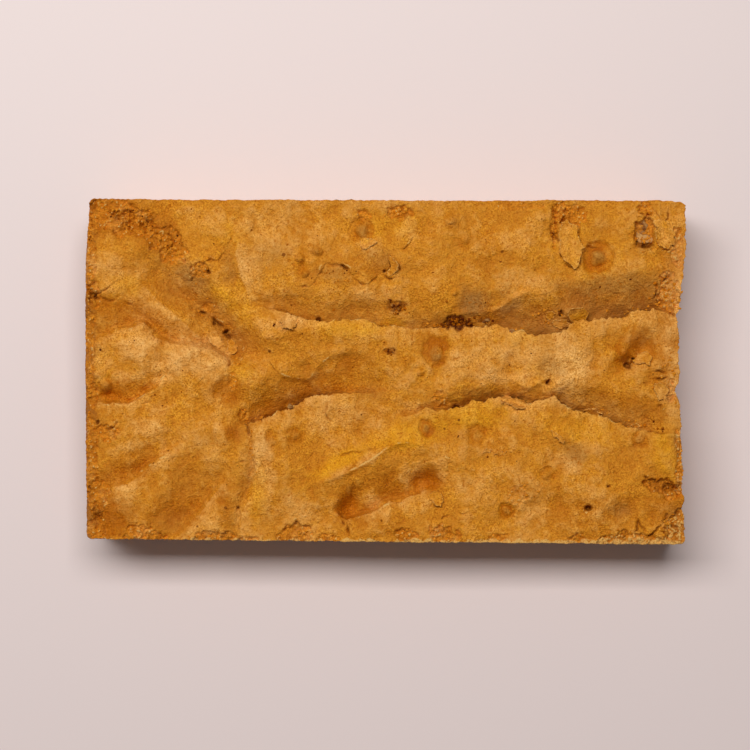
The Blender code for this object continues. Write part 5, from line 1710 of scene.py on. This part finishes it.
# Walnut pieces: the middle of each, its sizes, its turn, and the cut side that slices it, if any
Nut = namedtuple("Nut", "x y z long wide tall turn side")
NUTS = {
    "in the hole at the back right": Nut(57.0, 29.6, 20.0, 2.9, 3.2, 1.8, 15, "up"),
    "its brown end": Nut(56.7, 32.2, 20.3, 1.9, 2.4, 1.2, 30, ""),
    "by the middle fold": Nut(-20.8, -7.9, 22.5, 1.2, 1.0, 0.9, 0, ""),
    "by the burnt cluster": Nut(22.3, 11.1, 22.3, 1.7, 1.0, 0.9, 20, ""),
    "on the upper lip": Nut(27.8, 8.6, 22.5, 1.0, 0.9, 0.9, 0, ""),
    "front, left": Nut(-43, -36.6, 9.6, 9, 6, 5.2, 8, "front"),
    "front, left of middle": Nut(-19.5, -37.4, 15.2, 5, 4, 3.6, 0, "front"),
    "front, middle": Nut(3.6, -36.2, 7.2, 7.5, 6, 6.2, -12, "front"),
    "front, right of middle": Nut(27.4, -37.2, 13.4, 6.4, 5, 4.2, 10, "front"),
    "front, right": Nut(49.5, -37, 7.8, 7.4, 5, 4.6, 0, "front"),
    "back, left": Nut(-36, 36.8, 12.8, 8, 5.4, 5.6, 0, "back"),
    "back, middle": Nut(-4.5, 37.4, 8, 6, 4.4, 4.4, 10, "back"),
    "back, right": Nut(31, 36.6, 13, 8.6, 6, 4.8, -8, "back"),
    "back, far right": Nut(52, 37.4, 7, 5, 4, 3.6, 0, "back"),
    "right, front": Nut(64.6, -20, 9.6, 6, 8, 5.4, 0, "right"),
    "right, middle": Nut(64.8, 3, 13.6, 5, 5.6, 4.2, 0, "right"),
    "right, back": Nut(65.6, 23, 8.2, 5, 7.6, 5.8, 0, "right"),
}
SIDES = {  # the axis across each cut, and which way it faces
    "front": (1, -1), "back": (1, 1), "right": (0, 1), "up": (2, 1),
}  # fmt: skip
NUT_INSET = 0.22
FURROW_DEPTH, FURROW_WIDE = 0.3, 0.16


SOFT_BOX_AT, SOFT_BOX_SIZE = (-0.21, 0.34, 1.0), (0.95, 0.34)
CAMERA_SHIFT = (-0.0023, -0.0007, 0)  # how far from over the bar's middle the photo was taken
SENSOR = 36  # millimetres


class BLONDIE_OT_stage(bpy.types.Operator):
    """Add the pale floor, the soft box, the fill and the camera"""

    bl_idname = "blondie.stage"
    bl_label = "Floor, lights and camera"

    def execute(self, context):
        stage = context.scene.blondie_stage
        deselect_all()
        bpy.ops.mesh.primitive_plane_add(size=4)
        floor = context.object
        floor.name = "floor"
        floor.data.materials.append(glazed_floor_material(stage.floor[:]))
        bpy.ops.object.light_add(type="AREA", location=SOFT_BOX_AT)
        box = context.object
        box.name = "soft_box"
        box.data.shape = "RECTANGLE"
        box.data.size, box.data.size_y = SOFT_BOX_SIZE
        box.data.energy = stage.key_power
        world = bpy.data.worlds.new("fill")
        world.use_nodes = True
        sky = {"Color": (1, 0.97, 0.96, 1), "Strength": stage.sky}
        fill_inputs(world.node_tree, world.node_tree.nodes["Background"], sky)
        context.scene.world = world
        over = (SOLID_LOW + SOLID_HIGH) / 2 + Vector(CAMERA_SHIFT)
        bpy.ops.object.camera_add(location=(over.x, over.y, stage.camera_height))
        camera = context.object
        camera.name = "camera_over_the_bar"
        camera.rotation_euler = (0, 0, 0)
        camera.data.sensor_width = SENSOR
        camera.data.lens = SENSOR * (stage.camera_height - HEIGHT * MM) / stage.field
        camera.data.clip_start = 0.01
        context.scene.camera = camera
        context.scene.view_settings.view_transform = "Standard"
        return {"FINISHED"}


class BLONDIE_PT_panel(bpy.types.Panel):
    """Lists the steps that build the blondie"""

    bl_idname = "BLONDIE_PT_panel"
    bl_label = "Walnut Blondie"
    bl_space_type = "VIEW_3D"
    bl_region_type = "UI"
    bl_category = "Blondie"

    def draw(self, context):
        scene = context.scene
        for group in (scene.blondie_sizes, scene.blondie_colours, scene.blondie_stage):
            column = self.layout.column()
            for name in group.__annotations__:
                column.prop(group, name)
        for step in STEPS:
            self.layout.operator(step.bl_idname)


GROUPS = {
    "blondie_sizes": BlondieSizes,
    "blondie_colours": BlondieColours,
    "blondie_stage": BlondieStage,
}
STEPS = (
    BLONDIE_OT_crust,
    BLONDIE_OT_crumb,
    BLONDIE_OT_flakes,
    BLONDIE_OT_crumbs,
    BLONDIE_OT_burnt,
    BLONDIE_OT_walnuts,
    BLONDIE_OT_stage,
)


def register():
    for group_name, group in GROUPS.items():
        bpy.utils.register_class(group)
        setattr(bpy.types.Scene, group_name, bpy.props.PointerProperty(type=group))
    for step in (*STEPS, BLONDIE_PT_panel):
        bpy.utils.register_class(step)


def unregister():
    for step in reversed((*STEPS, BLONDIE_PT_panel)):
        bpy.utils.unregister_class(step)
    for group_name, group in reversed(list(GROUPS.items())):
        delattr(bpy.types.Scene, group_name)
        bpy.utils.unregister_class(group)


def main():
    register()
    bpy.ops.blondie.crust()
    bpy.ops.blondie.crumb()
    bpy.ops.blondie.flakes()
    bpy.ops.blondie.crumbs()
    bpy.ops.blondie.burnt()
    bpy.ops.blondie.walnuts()
    bpy.ops.blondie.stage()


if __name__ == "__main__":
    main()
